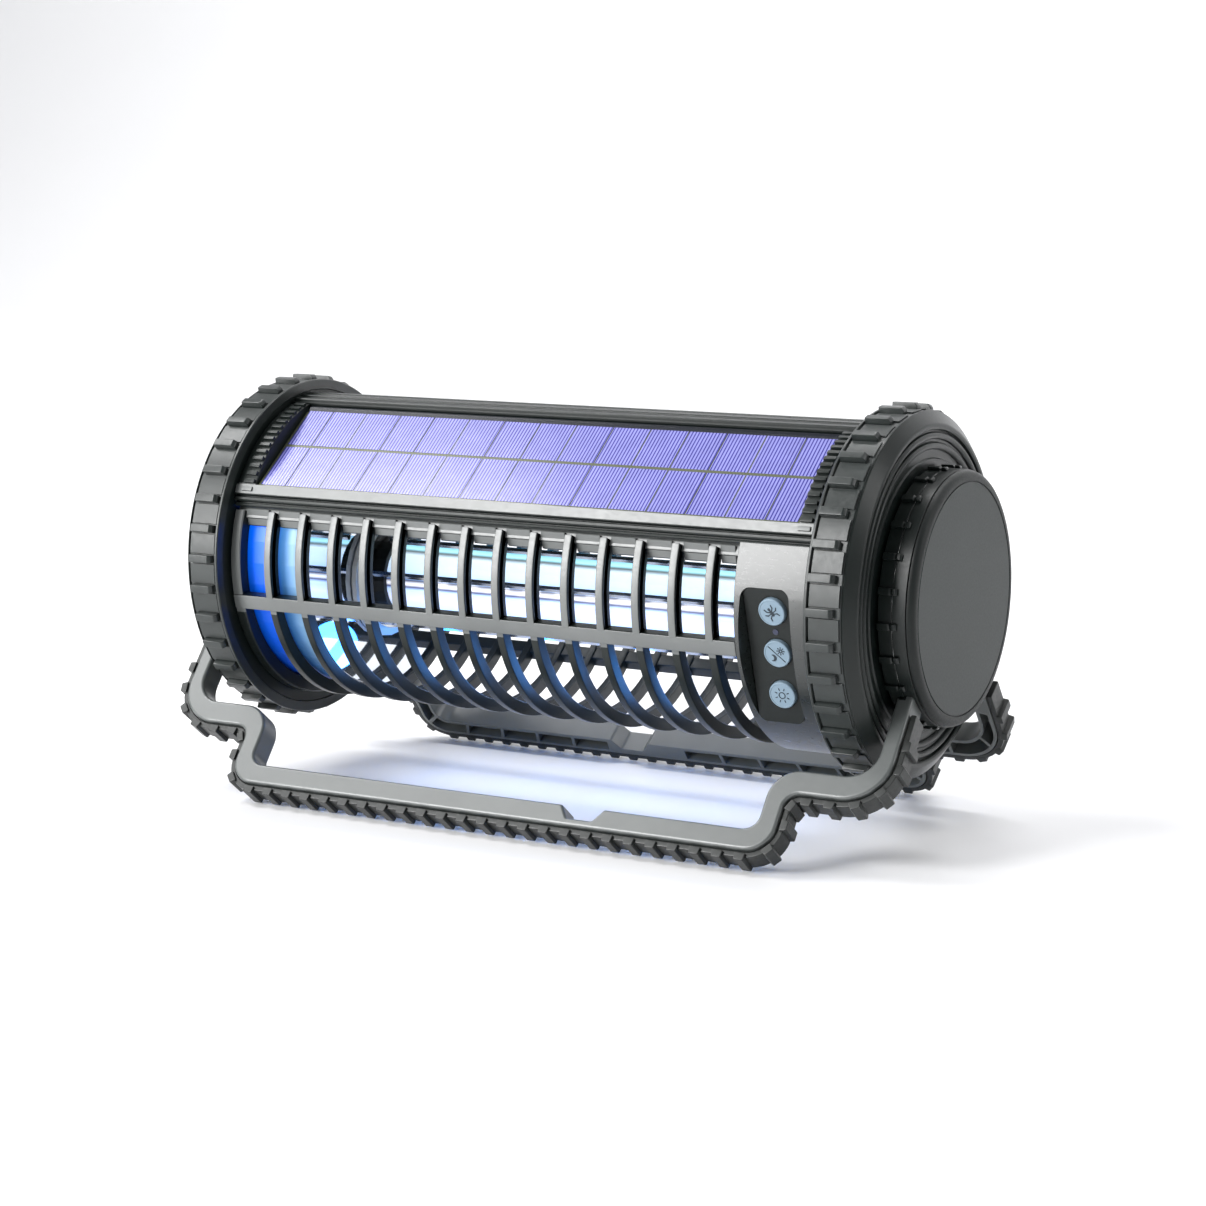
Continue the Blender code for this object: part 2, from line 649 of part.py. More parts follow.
def control_panel():
    """The dark plate on the pocket's floor, with its keys and the parts under them."""
    out = facing(PANEL_ANGLE)
    edge = box_outline(
        -POCKET_X[1] + GAP, -POCKET_X[0] - GAP, POCKET_U[0] + GAP, POCKET_U[1] - GAP
    )
    holes = [
        circle(BUTTON_R + GAP, 24, (-BUTTON_X, i * BUTTON_PITCH)) for i in (-1, 0, 1)
    ]
    holes.append(circle(LED_HOLE_R, 12, (-BUTTON_X, -BUTTON_PITCH / 2)))
    prism(
        "control_panel", [edge] + holes, PANEL_FACE - PANEL_T, PANEL_FACE, out, DARK_ABS
    )
    for i, name in ((-1, "zap_button"), (0, "auto_button"), (1, "light_button")):
        place = shift(out, -BUTTON_X, i * BUTTON_PITCH)
        key = cylinder(name, BUTTON_R, BUTTON_BACK, BUTTON_FACE, place, KEYS)
        flange = cylinder(
            name + "_flange", FLANGE_R, BUTTON_BACK + 0.1 * MM, BUTTON_BACK + 1.3 * MM,
            place, cutter=True,
        )
        boolean(key, flange, "UNION")
        switch_name = name.replace("button", "switch")
        switch = prism(
            switch_name, [box_outline(-3 * MM, 3 * MM, -3 * MM, 3 * MM)],
            SWITCH_BACK, SWITCH_TOP - 1.1 * MM, place, DARK_ABS,
        )
        plunger = cylinder(
            switch_name + "_plunger", 1.75 * MM, SWITCH_TOP - 1.7 * MM, SWITCH_TOP,
            place, cutter=True, sides=12,
        )
        boolean(switch, plunger, "UNION")
    cylinder(
        "status_led_lens", LED_R, BOARD_TOP + 2.1 * MM, PANEL_FACE + 0.2 * MM,
        shift(out, -BUTTON_X, -BUTTON_PITCH / 2), CLEAR, sides=12,
    )
    board = box_outline(-108 * MM, -87.6 * MM, -26 * MM, 26 * MM)
    prism("control_board", [board], BOARD_TOP - 1.6 * MM, BOARD_TOP, out, BOARD)


def batteries():
    """Two upright rechargeable cells and the tray behind and under them."""
    upright = AXIS @ Matrix.Translation((CELLS_X, 0, 0))
    for number, y in enumerate(CELLS_Y, start=1):
        place = upright @ Matrix.Translation((0, y, 0))
        name = f"battery_cell_{number}"
        cylinder(name, CELL_R, -CELL_HALF, CELL_HALF, place, CELL_WRAP, sides=20)
    side_view = upright @ Matrix(
        ((1, 0, 0, 0), (0, 0, -1, 0), (0, 1, 0, 0), (0, 0, 0, 1))
    )
    wall = 1.6 * MM
    inner = CELL_HALF + 0.5 * MM
    back = CELL_R + 0.5 * MM
    outline = [(-6 * MM, -inner - wall), (back + wall, -inner - wall)]
    outline += [(back + wall, inner + wall), (-6 * MM, inner + wall), (-6 * MM, inner)]
    outline += [(back, inner), (back, -inner), (-6 * MM, -inner)]
    low, high = -CELLS_Y[1] - CELL_R - GAP, GAP + CELL_R - CELLS_Y[0]
    prism("battery_holder", [outline], low, high, side_view, DARK_ABS)


# ---- Lamp and grid ------------------------------------------------------------
def lamp_drum():
    """The cup that holds the lamp's left end, flattened under the solar panel."""
    profile = [(DRUM_X, 0), (DRUM_X, DRUM_R), (-BODY_END, DRUM_R)]
    profile += [(-BODY_END, DRUM_BORE), (DRUM_X - DRUM_WALL, DRUM_BORE)]
    profile += [(DRUM_X - DRUM_WALL, 0)]
    drum = turned("lamp_base_drum", profile, DARK_ABS, 1, 40)
    above = box_outline(-DRUM_R, DRUM_R, DRUM_FLAT, DRUM_R + 10 * MM)
    flat = [solar(s, h) for s, h in above]
    cut = prism("drum_flat", [flat], -BODY_END - 8 * MM, DRUM_X + 8 * MM, ALONG_X, cutter=True)
    boolean(drum, cut, "DIFFERENCE")
    hole = cylinder(
        "drum_wire_hole", WIRE_HOLE_R, DRUM_X - DRUM_WALL - 2 * MM, DRUM_X + 2 * MM,
        shift(ALONG_X, 0, -LAMP_DROP), cutter=True,
    )
    boolean(drum, hole, "DIFFERENCE")
    block = box_outline(-18 * MM, 14 * MM, -20 * MM, 8 * MM)
    low, high = -BODY_END + 4 * MM, DRUM_X - DRUM_WALL - 2 * MM
    prism("high_voltage_module", [block], low, high, ALONG_X, CERAMIC)


def lamp():
    """The lamp's diffuser tube and light strip, its two sockets and the insulators."""
    left, right = LAMP_ENDS
    bore = LAMP_R - LAMP_WALL
    tube = [(left, bore), (left, LAMP_R), (right, LAMP_R), (right, bore)]
    turned("lamp_tube", tube, DIFFUSER, 1, 24, frame=LAMP_AXIS)
    board = box_outline(-6 * MM, 6 * MM, -0.8 * MM, 0.8 * MM)
    low, high = left + 0.6 * MM, right - 0.6 * MM
    prism("lamp_led_board", [board], low, high, shift(ALONG_X, 0, -LAMP_DROP), BOARD)
    seat = LAMP_R + 0.4 * MM
    for name, side, end in SOCKET_ENDS:
        cup = [(end, WIRE_HOLE_R), (end, SOCKET_RIM_R), (end - 2.6 * MM, SOCKET_RIM_R)]
        cup += [(end - 2.6 * MM, SOCKET_R), (end - 9 * MM, SOCKET_R), (end - 9 * MM, seat)]
        cup += [(end - 3.5 * MM, seat), (end - 3.5 * MM, WIRE_HOLE_R)]
        turned(name + "_lamp_socket", cup, DARK_ABS, side, 24, frame=LAMP_AXIS)
        inner, outer = INSULATOR_R
        disc = [(end, inner), (end, outer), (end - 1.8 * MM, outer)]
        disc += [(end - 1.8 * MM, inner)]
        turned(name + "_grid_insulator", disc, CERAMIC, side, 24, frame=LAMP_AXIS)


def grid(name, side, ring_x, turn):
    """One half of the electrodes: rods standing on a ring at one end of the lamp."""
    inner, outer = GRID_R - 1.3 * MM, GRID_R + 2 * MM
    ring = [(ring_x, inner), (ring_x, outer)]
    ring += [(ring_x - 1.6 * MM, outer), (ring_x - 1.6 * MM, inner)]
    body = turned(name, ring, STEEL, side, 24, frame=LAMP_AXIS)
    rods = []
    for i in range(GRID_RODS):
        y, z = polar(GRID_R, turn + math.tau * i / GRID_RODS)
        z -= LAMP_DROP
        low, high = sorted((side * (ring_x - 0.6 * MM), -side * 74 * MM))
        rods.append(
            cylinder(
                f"{name}_rod_{i}", ROD_R, low, high, shift(ALONG_X, y, z),
                cutter=True, sides=6,
            )
        )
    boolean(body, merged(name + "_rods", rods), "UNION")


for prefix, end in (("left", -1), ("right", 1)):
    bumper_ring(prefix + "_bumper_ring", end)
    end_housing(prefix + "_end_housing", end)
    hub(prefix, end)
front_root = [(LEG_ARM_IN, ROOT_R), (FRONT_COLLAR_X, ROOT_R), (FRONT_COLLAR_X, NECK_R)]
front_root += [(LEG_ARM_OUT, NECK_R)]
rear_root = [(LEG_ARM_IN, 52 * MM), (REAR_ROOT_X, 50 * MM), (REAR_ROOT_X, NECK_R)]
rear_root += [(REAR_COLLAR_X + COLLAR_W, NECK_R), (REAR_COLLAR_X + COLLAR_W, ROOT_R)]
rear_root += [(LEG_ARM_OUT, ROOT_R)]
leg("front_leg", -1, FRONT_COLLAR_X, front_root, FRONT_NOTCH_X)
leg("rear_leg", 1, REAR_COLLAR_X, rear_root, REAR_NOTCH_X)
leg_tread("front_leg_tread", -1)
leg_tread("rear_leg_tread", 1)
solar_frame()
solar_panel()
guard_cage()
control_housing()
control_panel()
batteries()
lamp_drum()
lamp()
grid("live_grid", -1, 80.4 * MM, GRID_TURN)
grid("return_grid", 1, 82.4 * MM, GRID_TURN + math.pi / GRID_RODS)
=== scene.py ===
"""The looks of the electric bug zapper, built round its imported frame.

Metres, in the frame's own axes: +Z up, length along X, front at -Y. Most pieces are
laid out round the lamp's axis, which runs along X at the height AXIS_Z. Angles round
that axis are in degrees, start at the front and go down.
"""

import math

import bmesh
import bpy
from mathutils import Matrix, Vector


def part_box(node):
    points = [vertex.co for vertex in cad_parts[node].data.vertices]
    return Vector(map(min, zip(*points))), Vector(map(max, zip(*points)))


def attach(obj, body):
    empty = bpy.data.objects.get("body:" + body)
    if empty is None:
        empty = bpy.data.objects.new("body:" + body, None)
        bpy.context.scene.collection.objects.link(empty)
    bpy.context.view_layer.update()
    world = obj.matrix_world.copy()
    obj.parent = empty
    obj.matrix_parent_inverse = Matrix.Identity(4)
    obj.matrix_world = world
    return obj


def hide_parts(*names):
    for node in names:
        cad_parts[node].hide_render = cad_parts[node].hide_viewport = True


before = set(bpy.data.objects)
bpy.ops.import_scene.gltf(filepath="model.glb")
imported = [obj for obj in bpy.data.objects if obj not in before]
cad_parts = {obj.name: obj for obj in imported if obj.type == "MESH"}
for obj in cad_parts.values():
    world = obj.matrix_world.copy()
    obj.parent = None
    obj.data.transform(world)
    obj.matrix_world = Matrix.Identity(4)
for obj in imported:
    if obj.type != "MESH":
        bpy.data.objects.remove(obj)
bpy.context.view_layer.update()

MM = 0.001
TAU = math.tau


# ---- Sizes read from the frame ----
def low(node):
    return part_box(node)[0]


def high(node):
    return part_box(node)[1]


AXIS_Z = (low("right_bumper_ring").z + high("right_bumper_ring").z) / 2
LAMP_Z = (low("lamp_tube").z + high("lamp_tube").z) / 2
LAMP_R = -low("lamp_tube").y
AXIS = Matrix.Translation((0, 0, AXIS_Z))
ALONG_X = AXIS @ Matrix(((0, 0, 1, 0), (1, 0, 0, 0), (0, 1, 0, 0), (0, 0, 0, 1)))

RING_IN = low("right_bumper_ring").x
RING_OUT = high("right_bumper_ring").x
RIB_TIP = high("right_bumper_ring").z - AXIS_Z
END_FACE = high("right_end_housing").x
CAP_FACE = high("right_hub_cap").x
CAP_BACK = low("right_hub_cap").x
HOUSING_X = low("control_housing").x
BODY_END = high("control_housing").x
DRUM_X = high("lamp_base_drum").x
PANEL_END = high("solar_panel").x

# ---- Other sizes ----
# Radii and faces are distances out from the lamp's axis; angles are in degrees.
RING_R = 60 * MM
RING_BORE = 57 * MM
COLLAR_R = 41.5 * MM
COLLAR_BORE = 30.4 * MM
REAR_COLLAR = (128.65 * MM, 133.25 * MM)
FRONT_COLLAR = (133.35 * MM, 137.9 * MM)
LEG_ANGLE = 52.0
LEG_T = (-1.0 * MM, 8.2 * MM)  # the depth of a leg, up to its smooth face
SOLAR_TILT = 38.0
CELL_PLANE = 50.5 * MM
HOUSING_R = 54 * MM
PANEL_ANGLE = 16.5
PANEL_FACE = 49.1 * MM
BUTTON_X = 97.5 * MM
BUTTON_PITCH = 14.4 * MM
BUTTON_R = 4.6 * MM
BUTTON_FACE = 50.5 * MM
ARM_IN, ARM_OUT = 131.4 * MM, 136.8 * MM
BAR_IN, BAR_OUT = 91.8 * MM, 99.0 * MM
LEG_ROOT = 42.7 * MM
ROUND = 144  # the sides of a smooth circle
PAD_TURNS = [8 + 10 * i for i in range(36)]
GRIP_TURNS = [5 + 15 * i for i in range(24)]
HOOP_ARC = (-20.6, 264.5)  # from under the panel's lower edge round to its top
HOOP_MIDDLES = [(-96 + 13.2 * i) * MM for i in range(14)]


# ---- Materials ----
class Nodes:
    """A short way to build one material's nodes."""

    def __init__(self, name):
        self.material = bpy.data.materials.new(name)
        self.material.use_nodes = True
        self.tree = self.material.node_tree
        self.shader = self.tree.nodes["Principled BSDF"]
        self.place = self.add("ShaderNodeTexCoord").outputs["Object"]

    def add(self, kind, **settings):
        node = self.tree.nodes.new(kind)
        for key, value in settings.items():
            setattr(node, key, value)
        return node

    def link(self, source, target):
        self.tree.links.new(source, target)

    def paint(self, source, target="Base Color"):
        """Links a varying value to one of the shader's sockets."""
        self.link(source, self.shader.inputs[target])

    def set(self, **values):
        """Sets the shader's own sockets: Base_Color=..., Roughness=..."""
        for key, value in values.items():
            self.shader.inputs[key.replace("_", " ")].default_value = value

    def noise(self, scale, detail, roughness=0.55, stretch=(1, 1, 1)):
        mapping = self.add("ShaderNodeMapping")
        mapping.inputs["Scale"].default_value = stretch
        self.link(self.place, mapping.inputs["Vector"])
        node = self.add("ShaderNodeTexNoise")
        node.inputs["Scale"].default_value = scale
        node.inputs["Detail"].default_value = detail
        node.inputs["Roughness"].default_value = roughness
        self.link(mapping.outputs[0], node.inputs["Vector"])
        return node.outputs["Fac"]

    def ramp(self, value, stops):
        """Colours, or numbers, at positions from 0 to 1."""
        node = self.add("ShaderNodeValToRGB")
        points = node.color_ramp.elements
        while len(points) < len(stops):
            points.new(0.5)
        for point, (position, colour) in zip(points, stops):
            point.position = position
            if isinstance(colour, (int, float)):
                colour = (colour,) * 3
            point.color = (*colour, 1)
        self.link(value, node.inputs["Fac"])
        return node.outputs["Color"]

    def math(self, operation, a, b=0.0, c=0.0):
        node = self.add("ShaderNodeMath", operation=operation)
        for socket, value in zip(node.inputs, (a, b, c)):
            if isinstance(value, (int, float)):
                socket.default_value = value
            else:
                self.link(value, socket)
        return node.outputs[0]

    def mix(self, factor, a, b):
        """A blend from colour a to b, each one a socket or plain numbers."""
        node = self.add("ShaderNodeMix", data_type="RGBA")
        for socket, value in zip((node.inputs[0], node.inputs[6], node.inputs[7]), (factor, a, b)):
            if isinstance(value, tuple):
                socket.default_value = (*value, 1)
            else:
                self.link(value, socket)
        return node.outputs[2]

    def axis(self, letter, turned=0.0):
        """One coordinate, after turning the frame about the lamp's axis, in metres."""
        mapping = self.add("ShaderNodeMapping", vector_type="TEXTURE")
        mapping.inputs["Location"].default_value = (0, 0, AXIS_Z)
        mapping.inputs["Rotation"].default_value = (math.radians(turned), 0, 0)
        self.link(self.place, mapping.inputs["Vector"])
        split = self.add("ShaderNodeSeparateXYZ")
        self.link(mapping.outputs[0], split.inputs[0])
        return split.outputs[letter]

    def bump(self, height, strength, distance):
        node = self.add("ShaderNodeBump")
        node.inputs["Strength"].default_value = strength
        node.inputs["Distance"].default_value = distance
        self.link(height, node.inputs["Height"])
        self.paint(node.outputs[0], "Normal")


def moulded(name, dark, light, rough, grain, specular):
    """Moulded plastic: slow colour drift, fine spark texture and scattered scuffs."""
    n = Nodes(name)
    n.paint(n.ramp(n.noise(38, 4), ((0.3, dark), (0.75, light))))
    scuff = n.noise(420, 5, 0.7, (1, 3, 3))
    n.paint(n.ramp(scuff, ((0.35, rough[0]), (0.68, rough[1]))), "Roughness")
    n.set(Specular_IOR_Level=specular)
    n.bump(n.noise(3200, 2, 0.6), grain, 0.00003)
    return n.material


def rubbery(name, dark, light, rough, specular):
    """Rubber: duller, with dust in its texture and a slight waviness."""
    n = Nodes(name)
    n.paint(n.ramp(n.noise(160, 6, 0.7), ((0.35, dark), (0.8, light))))
    n.paint(n.ramp(n.noise(700, 3), ((0.3, rough[0]), (0.7, rough[1]))), "Roughness")
    n.set(Specular_IOR_Level=specular, Sheen_Weight=0.08, Sheen_Roughness=0.5)
    fine = n.math("ADD", n.math("MULTIPLY", n.noise(2400, 3), 0.6), n.noise(260, 2))
    n.bump(fine, 0.35, 0.00005)
    return n.material


def metal(name, colour, rough, stretch):
    """Bare metal with fine drawing lines along one axis."""
    n = Nodes(name)
    lines = n.noise(900, 3, 0.6, stretch)
    darker = tuple(0.72 * c for c in colour)
    n.paint(n.ramp(lines, ((0.25, darker), (0.7, colour))))
    n.paint(n.ramp(lines, ((0.2, rough * 0.7), (0.8, rough * 1.5))), "Roughness")
    n.set(Metallic=1.0)
    n.bump(lines, 0.15, 0.00002)
    return n.material


def solar_cells():
    """Violet-blue silicon with fine printed fingers across, under a clear coat."""
    n = Nodes("solar_cell_silicon")
    finger_pitch = 1.22 * MM
    finger = n.math("FRACT", n.math("MULTIPLY", n.axis("X"), 1 / finger_pitch))
    line = n.ramp(finger, ((0.0, 1.0), (0.46, 1.0), (0.6, 0.0), (0.86, 0.0), (1.0, 1.0)))
    crystal = n.noise(140, 4, 0.6)
    silicon = n.ramp(crystal, ((0.3, (0.012, 0.011, 0.20)), (0.7, (0.020, 0.018, 0.28))))
    silver = n.ramp(crystal, ((0.3, (0.17, 0.17, 0.46)), (0.7, (0.22, 0.22, 0.54))))
    n.paint(n.mix(line, silicon, silver))
    n.paint(n.ramp(line, ((0.0, 0.24), (1.0, 0.4))), "Roughness")
    n.set(Metallic=0.2, Coat_Weight=0.8, Coat_Roughness=0.15, Specular_IOR_Level=0.6)
    n.bump(line, 0.2, 0.00002)
    return n.material


def lit_drum():
    """Blue cup with the lamp's light painted on: a painted glow (emission) growing towards its top,
    and a colour saturated at its rim that turns paler, then dark, towards the lamp, painted lamp
    light.
    Its end wall, the last hundredth of its length, mirrors the lamp."""
    n = Nodes("lit_blue_cup")
    along = n.math("MULTIPLY", n.math("ADD", n.axis("X"), BODY_END), 1 / (BODY_END + DRUM_X))
    down = n.math("MULTIPLY_ADD", n.axis("Z"), 1 / (95 * MM), 0.5)
    # The cup's colour, set by position along it with a little noise, is painted lamp light:
    # saturated blue at the rim, paler, then dark, towards the lamp.
    painted_light_and_cloud = n.math("MULTIPLY_ADD", n.noise(26, 2), 0.16, n.math("SUBTRACT", along, 0.08))
    colour_with_painted_light = n.ramp(painted_light_and_cloud, (
        (0.0, (0.0, 0.09, 0.66)), (0.5, (0.0, 0.10, 0.72)), (0.6, (0.05, 0.20, 0.52)),
        (0.78, (0.14, 0.28, 0.46)), (0.96, (0.02, 0.05, 0.10))))
    before, after = 0.988, 0.992
    wall = n.ramp(along, ((before, 0.0), (after, 1.0)))
    n.paint(n.mix(wall, colour_with_painted_light, (0.80, 0.86, 0.95)))
    n.paint(colour_with_painted_light, "Emission Color")
    # Painted glow: emission that grows towards the cup's top, standing in for the lamp's light on
    # it.
    glow = n.ramp(down, ((0.12, 0.0), (0.42, 0.35), (0.62, 1.0)))
    lit = n.ramp(along, ((before, 1.0), (after, 0.0)))
    n.paint(n.math("MULTIPLY", glow, lit), "Emission Strength")
    n.paint(wall, "Metallic")
    n.paint(n.ramp(along, ((before, 0.35), (after, 0.04))), "Roughness")
    n.set(Specular_IOR_Level=0.5)
    return n.material


def lamp_glow():
    """Milky diffuser: lit bands along its length, with painted dark lines between some and a
    painted
    white line between two of them: the shade and highlight of the grid rods in front of it.
    """
    n = Nodes("lit_diffuser")
    above = n.math("ADD", n.axis("Z"), AXIS_Z - LAMP_Z)
    height = n.math("MULTIPLY_ADD", above, 1 / (2 * LAMP_R), 0.5)
    wave = n.noise(60, 2, 0.5, (0.2, 1, 1))
    wave = n.math("MULTIPLY_ADD", wave, 0.05, n.math("SUBTRACT", height, 0.025))
    # The dark stops at 0.44, 0.53 and 0.90 and the white stop at 0.48 are the painted shade and
    # highlight of the grid rods.
    colour_with_painted_light = n.ramp(wave, (
        (0.0, (0.01, 0.05, 0.30)), (0.08, (0.05, 0.30, 0.85)), (0.12, (0.58, 0.76, 0.98)),
        (0.28, (0.66, 0.72, 0.98)), (0.40, (0.48, 0.66, 0.98)), (0.44, (0.02, 0.03, 0.14)),
        (0.48, (0.90, 0.93, 1.0)), (0.53, (0.02, 0.03, 0.10)), (0.57, (0.36, 0.60, 0.98)),
        (0.68, (0.58, 0.76, 1.0)), (0.86, (0.70, 0.88, 1.0)), (0.90, (0.10, 0.12, 0.14)),
        (0.93, (0.45, 0.90, 1.0)), (1.0, (0.02, 0.22, 0.40))))
    n.paint(colour_with_painted_light)
    n.paint(colour_with_painted_light, "Emission Color")
    n.set(Emission_Strength=1.02, Roughness=0.25, Coat_Weight=0.6, Coat_Roughness=0.05)
    return n.material


def circuit_board():
    n = Nodes("green_circuit_board")
    tracks = n.noise(420, 1, 0.3, (1, 4, 1))
    n.paint(n.ramp(tracks, ((0.45, (0.006, 0.10, 0.035)), (0.5, (0.02, 0.20, 0.07)))))
    n.set(Roughness=0.35, Coat_Weight=0.4)
    n.bump(tracks, 0.3, 0.00003)
    return n.material


def wrapped_cell():
    n = Nodes("battery_wrap")
    wrinkle = n.noise(120, 4, 0.6, (1, 1, 0.2))
    n.paint(n.ramp(wrinkle, ((0.3, (0.02, 0.11, 0.32)), (0.75, (0.04, 0.18, 0.44)))))
    n.paint(n.ramp(wrinkle, ((0.3, 0.22), (0.8, 0.4))), "Roughness")
    n.bump(wrinkle, 0.2, 0.00008)
    return n.material


def panel_sheet():
    """The sheet behind the cells: olive between them, near black along its top edge."""
    n = Nodes("panel_backing_sheet")
    slope = n.math("MULTIPLY_ADD", n.axis("Y", SOLAR_TILT), 1 / (42 * MM), 0.5)
    mottled = n.math("MULTIPLY_ADD", n.noise(300, 3), 0.004, slope)
    n.paint(n.ramp(mottled, ((0.0, (0.09, 0.10, 0.06)), (0.90, (0.08, 0.09, 0.055)),
                             (0.935, (0.004, 0.006, 0.012)))))
    n.set(Roughness=0.2, Coat_Weight=0.6, Coat_Roughness=0.05)
    return n.material


def clear_lens():
    n = Nodes("clear_lens_plastic")
    n.paint(n.ramp(n.noise(600, 2), ((0.3, (0.002, 0.006, 0.03)), (0.7, (0.004, 0.010, 0.05)))))
    n.set(Roughness=0.15, Coat_Weight=0.3)
    return n.material


# Each has a dark and a light colour and a low and a high roughness.
BODY = moulded("charcoal_abs", (0.006, 0.009, 0.008), (0.010, 0.014, 0.013),
               (0.29, 0.36), 0.12, 0.34)
SHELL = moulded("satin_shell_abs", (0.007, 0.010, 0.009), (0.012, 0.016, 0.015),
                (0.27, 0.31), 0.03, 0.8)
DARK = moulded("matt_black_abs", (0.005, 0.007, 0.007), (0.009, 0.012, 0.011),
               (0.40, 0.55), 0.3, 0.3)
DISC = moulded("brushed_disc_abs", (0.009, 0.014, 0.013), (0.012, 0.018, 0.017),
               (0.34, 0.42), 0.15, 0.25)
LEGS = moulded("grey_leg_abs", (0.078, 0.086, 0.084), (0.100, 0.109, 0.106),
               (0.30, 0.38), 0.12, 0.9)
RUBBER = rubbery("ring_rubber", (0.010, 0.014, 0.013), (0.018, 0.024, 0.023), (0.28, 0.38), 0.5)
TREAD = rubbery("tread_rubber", (0.004, 0.006, 0.005), (0.009, 0.012, 0.011), (0.34, 0.48), 0.5)
KEYS = moulded("blue_grey_keys", (0.17, 0.24, 0.30), (0.21, 0.29, 0.36), (0.42, 0.52), 0.2, 0.4)
INK = moulded("dark_icon_ink", (0.020, 0.030, 0.040), (0.03, 0.04, 0.05), (0.5, 0.65), 0.2, 0.3)
BORDER = panel_sheet()
CELLS = solar_cells()
CHROME = metal("grid_steel", (0.86, 0.88, 0.92), 0.12, (0.03, 1, 1))
STEEL = metal("zinc_steel", (0.55, 0.56, 0.56), 0.3, (1, 1, 1))
CERAMIC = moulded("insulator_plastic", (0.62, 0.63, 0.60), (0.72, 0.73, 0.70),
                  (0.4, 0.55), 0.2, 0.5)
# A lighter grey for faces turned towards the lights: a painted highlight.
PAINTED_HIGHLIGHT = moulded("worn_edge_abs", (0.085, 0.092, 0.090), (0.125, 0.133, 0.130),
               (0.30, 0.42), 0.2, 0.8)
CUP = lit_drum()
LENS = clear_lens()
GLOW = lamp_glow()
BOARD = circuit_board()
WRAP = wrapped_cell()


# ---- Outlines ----
def polar(radius, degrees):
    """(y, z) at this radius, at an angle that starts at the front and goes down."""
    turn = math.radians(degrees)
    return (-radius * math.cos(turn), -radius * math.sin(turn))


def arc(radius, start, stop, steps):
    return [polar(radius, start + (stop - start) * i / steps) for i in range(steps + 1)]


def circle(radius, steps, centre):
    return [(centre[0] + radius * math.cos(TAU * i / steps),
             centre[1] + radius * math.sin(TAU * i / steps)) for i in range(steps)]


def from_x(x, *points):
    """Profile points in millimetres, the first number of each counted from x."""
    return [(x + step * MM, radius * MM) for step, radius in points]


def box_outline(low_a, high_a, low_b, high_b):
    return [(low_a, low_b), (high_a, low_b), (high_a, high_b), (low_a, high_b)]


def corner_arc(before, here, after, radius, steps):
    """The points that round one corner."""
    towards, onwards = (before - here).normalized(), (after - here).normalized()
    half = towards.angle(onwards) / 2
    if radius <= 0 or half > math.radians(89.5):
        return [here]
    shorter = min((before - here).length, (after - here).length)
    radius = min(radius, 0.49 * math.tan(half) * shorter)
    centre = here + (towards + onwards).normalized() * radius / math.sin(half)
    first = here + towards * radius / math.tan(half) - centre
    last = here + onwards * radius / math.tan(half) - centre
    turn = first.angle_signed(last)
    return [centre + first @ Matrix.Rotation(turn * i / steps, 2) for i in range(steps + 1)]


def rounded(corners, steps):
    """An open path of (a, b, radius) corners. Its ends stay sharp."""
    path = [Vector(corners[0][:2])]
    for before, here, after in zip(corners, corners[1:], corners[2:]):
        path += corner_arc(Vector(before[:2]), Vector(here[:2]), Vector(after[:2]), here[2], steps)
    path.append(Vector(corners[-1][:2]))
    return path


def eased(outline, radius, steps):
    """A closed outline with every corner rounded by the same radius."""
    points = [Vector(p[:2]) for p in outline]
    path = []
    for i, here in enumerate(points):
        path += corner_arc(points[i - 1], here, points[(i + 1) % len(points)], radius, steps)
    return [tuple(p) for p in path]


def solar(slope, height):
    """(y, z) of a point given along the panel's slope and above the lamp's axis."""
    c, s = math.cos(math.radians(SOLAR_TILT)), math.sin(math.radians(SOLAR_TILT))
    return (slope * c - height * s, slope * s + height * c)


def solar_polar(radius, degrees):
    """(y, z) at an angle from the panel's normal, positive up the slope."""
    turn = math.radians(degrees)
    return solar(radius * math.sin(turn), radius * math.cos(turn))


def frame_of(*directions):
    """A frame on the lamp's axis, from the directions of its own three axes."""
    return AXIS @ Matrix(directions).transposed().to_4x4()


def facing(degrees):
    """A frame with its depth pointing out of the axis at this angle below the front,
    its first axis along -X and its second down the surface."""
    c, s = math.cos(math.radians(degrees)), math.sin(math.radians(degrees))
    return frame_of((-1, 0, 0), (0, s, -c), (0, -c, -s))


def leg_frame(side):
    """A leg's own plane: first axis along X (-X in front), second out from the hinge,
    depth towards its smooth face. side is -1 for the front leg and 1 for the rear."""
    c, s = math.cos(math.radians(LEG_ANGLE)), math.sin(math.radians(LEG_ANGLE))
    return frame_of((side, 0, 0), (0, side * c, -s), (0, side * s, c))


# ---- Solids ----
def place(name, data):
    """A new object in the scene, holding this data."""
    made = bpy.data.objects.new(name, data)
    bpy.context.scene.collection.objects.link(made)
    return made


def as_object(name, shape):
    mesh = bpy.data.meshes.new(name)
    shape.to_mesh(mesh)
    shape.free()
    return place(name, mesh)


def from_bmesh(name, shape, frame_matrix=None):
    """Welds a closed shape, turns its faces outwards and places it."""
    bmesh.ops.remove_doubles(shape, verts=shape.verts, dist=1e-7)
    bmesh.ops.recalc_face_normals(shape, faces=shape.faces)
    if frame_matrix is not None:
        shape.transform(frame_matrix)
        if frame_matrix.determinant() < 0:
            bmesh.ops.reverse_faces(shape, faces=shape.faces)
    return as_object(name, shape)


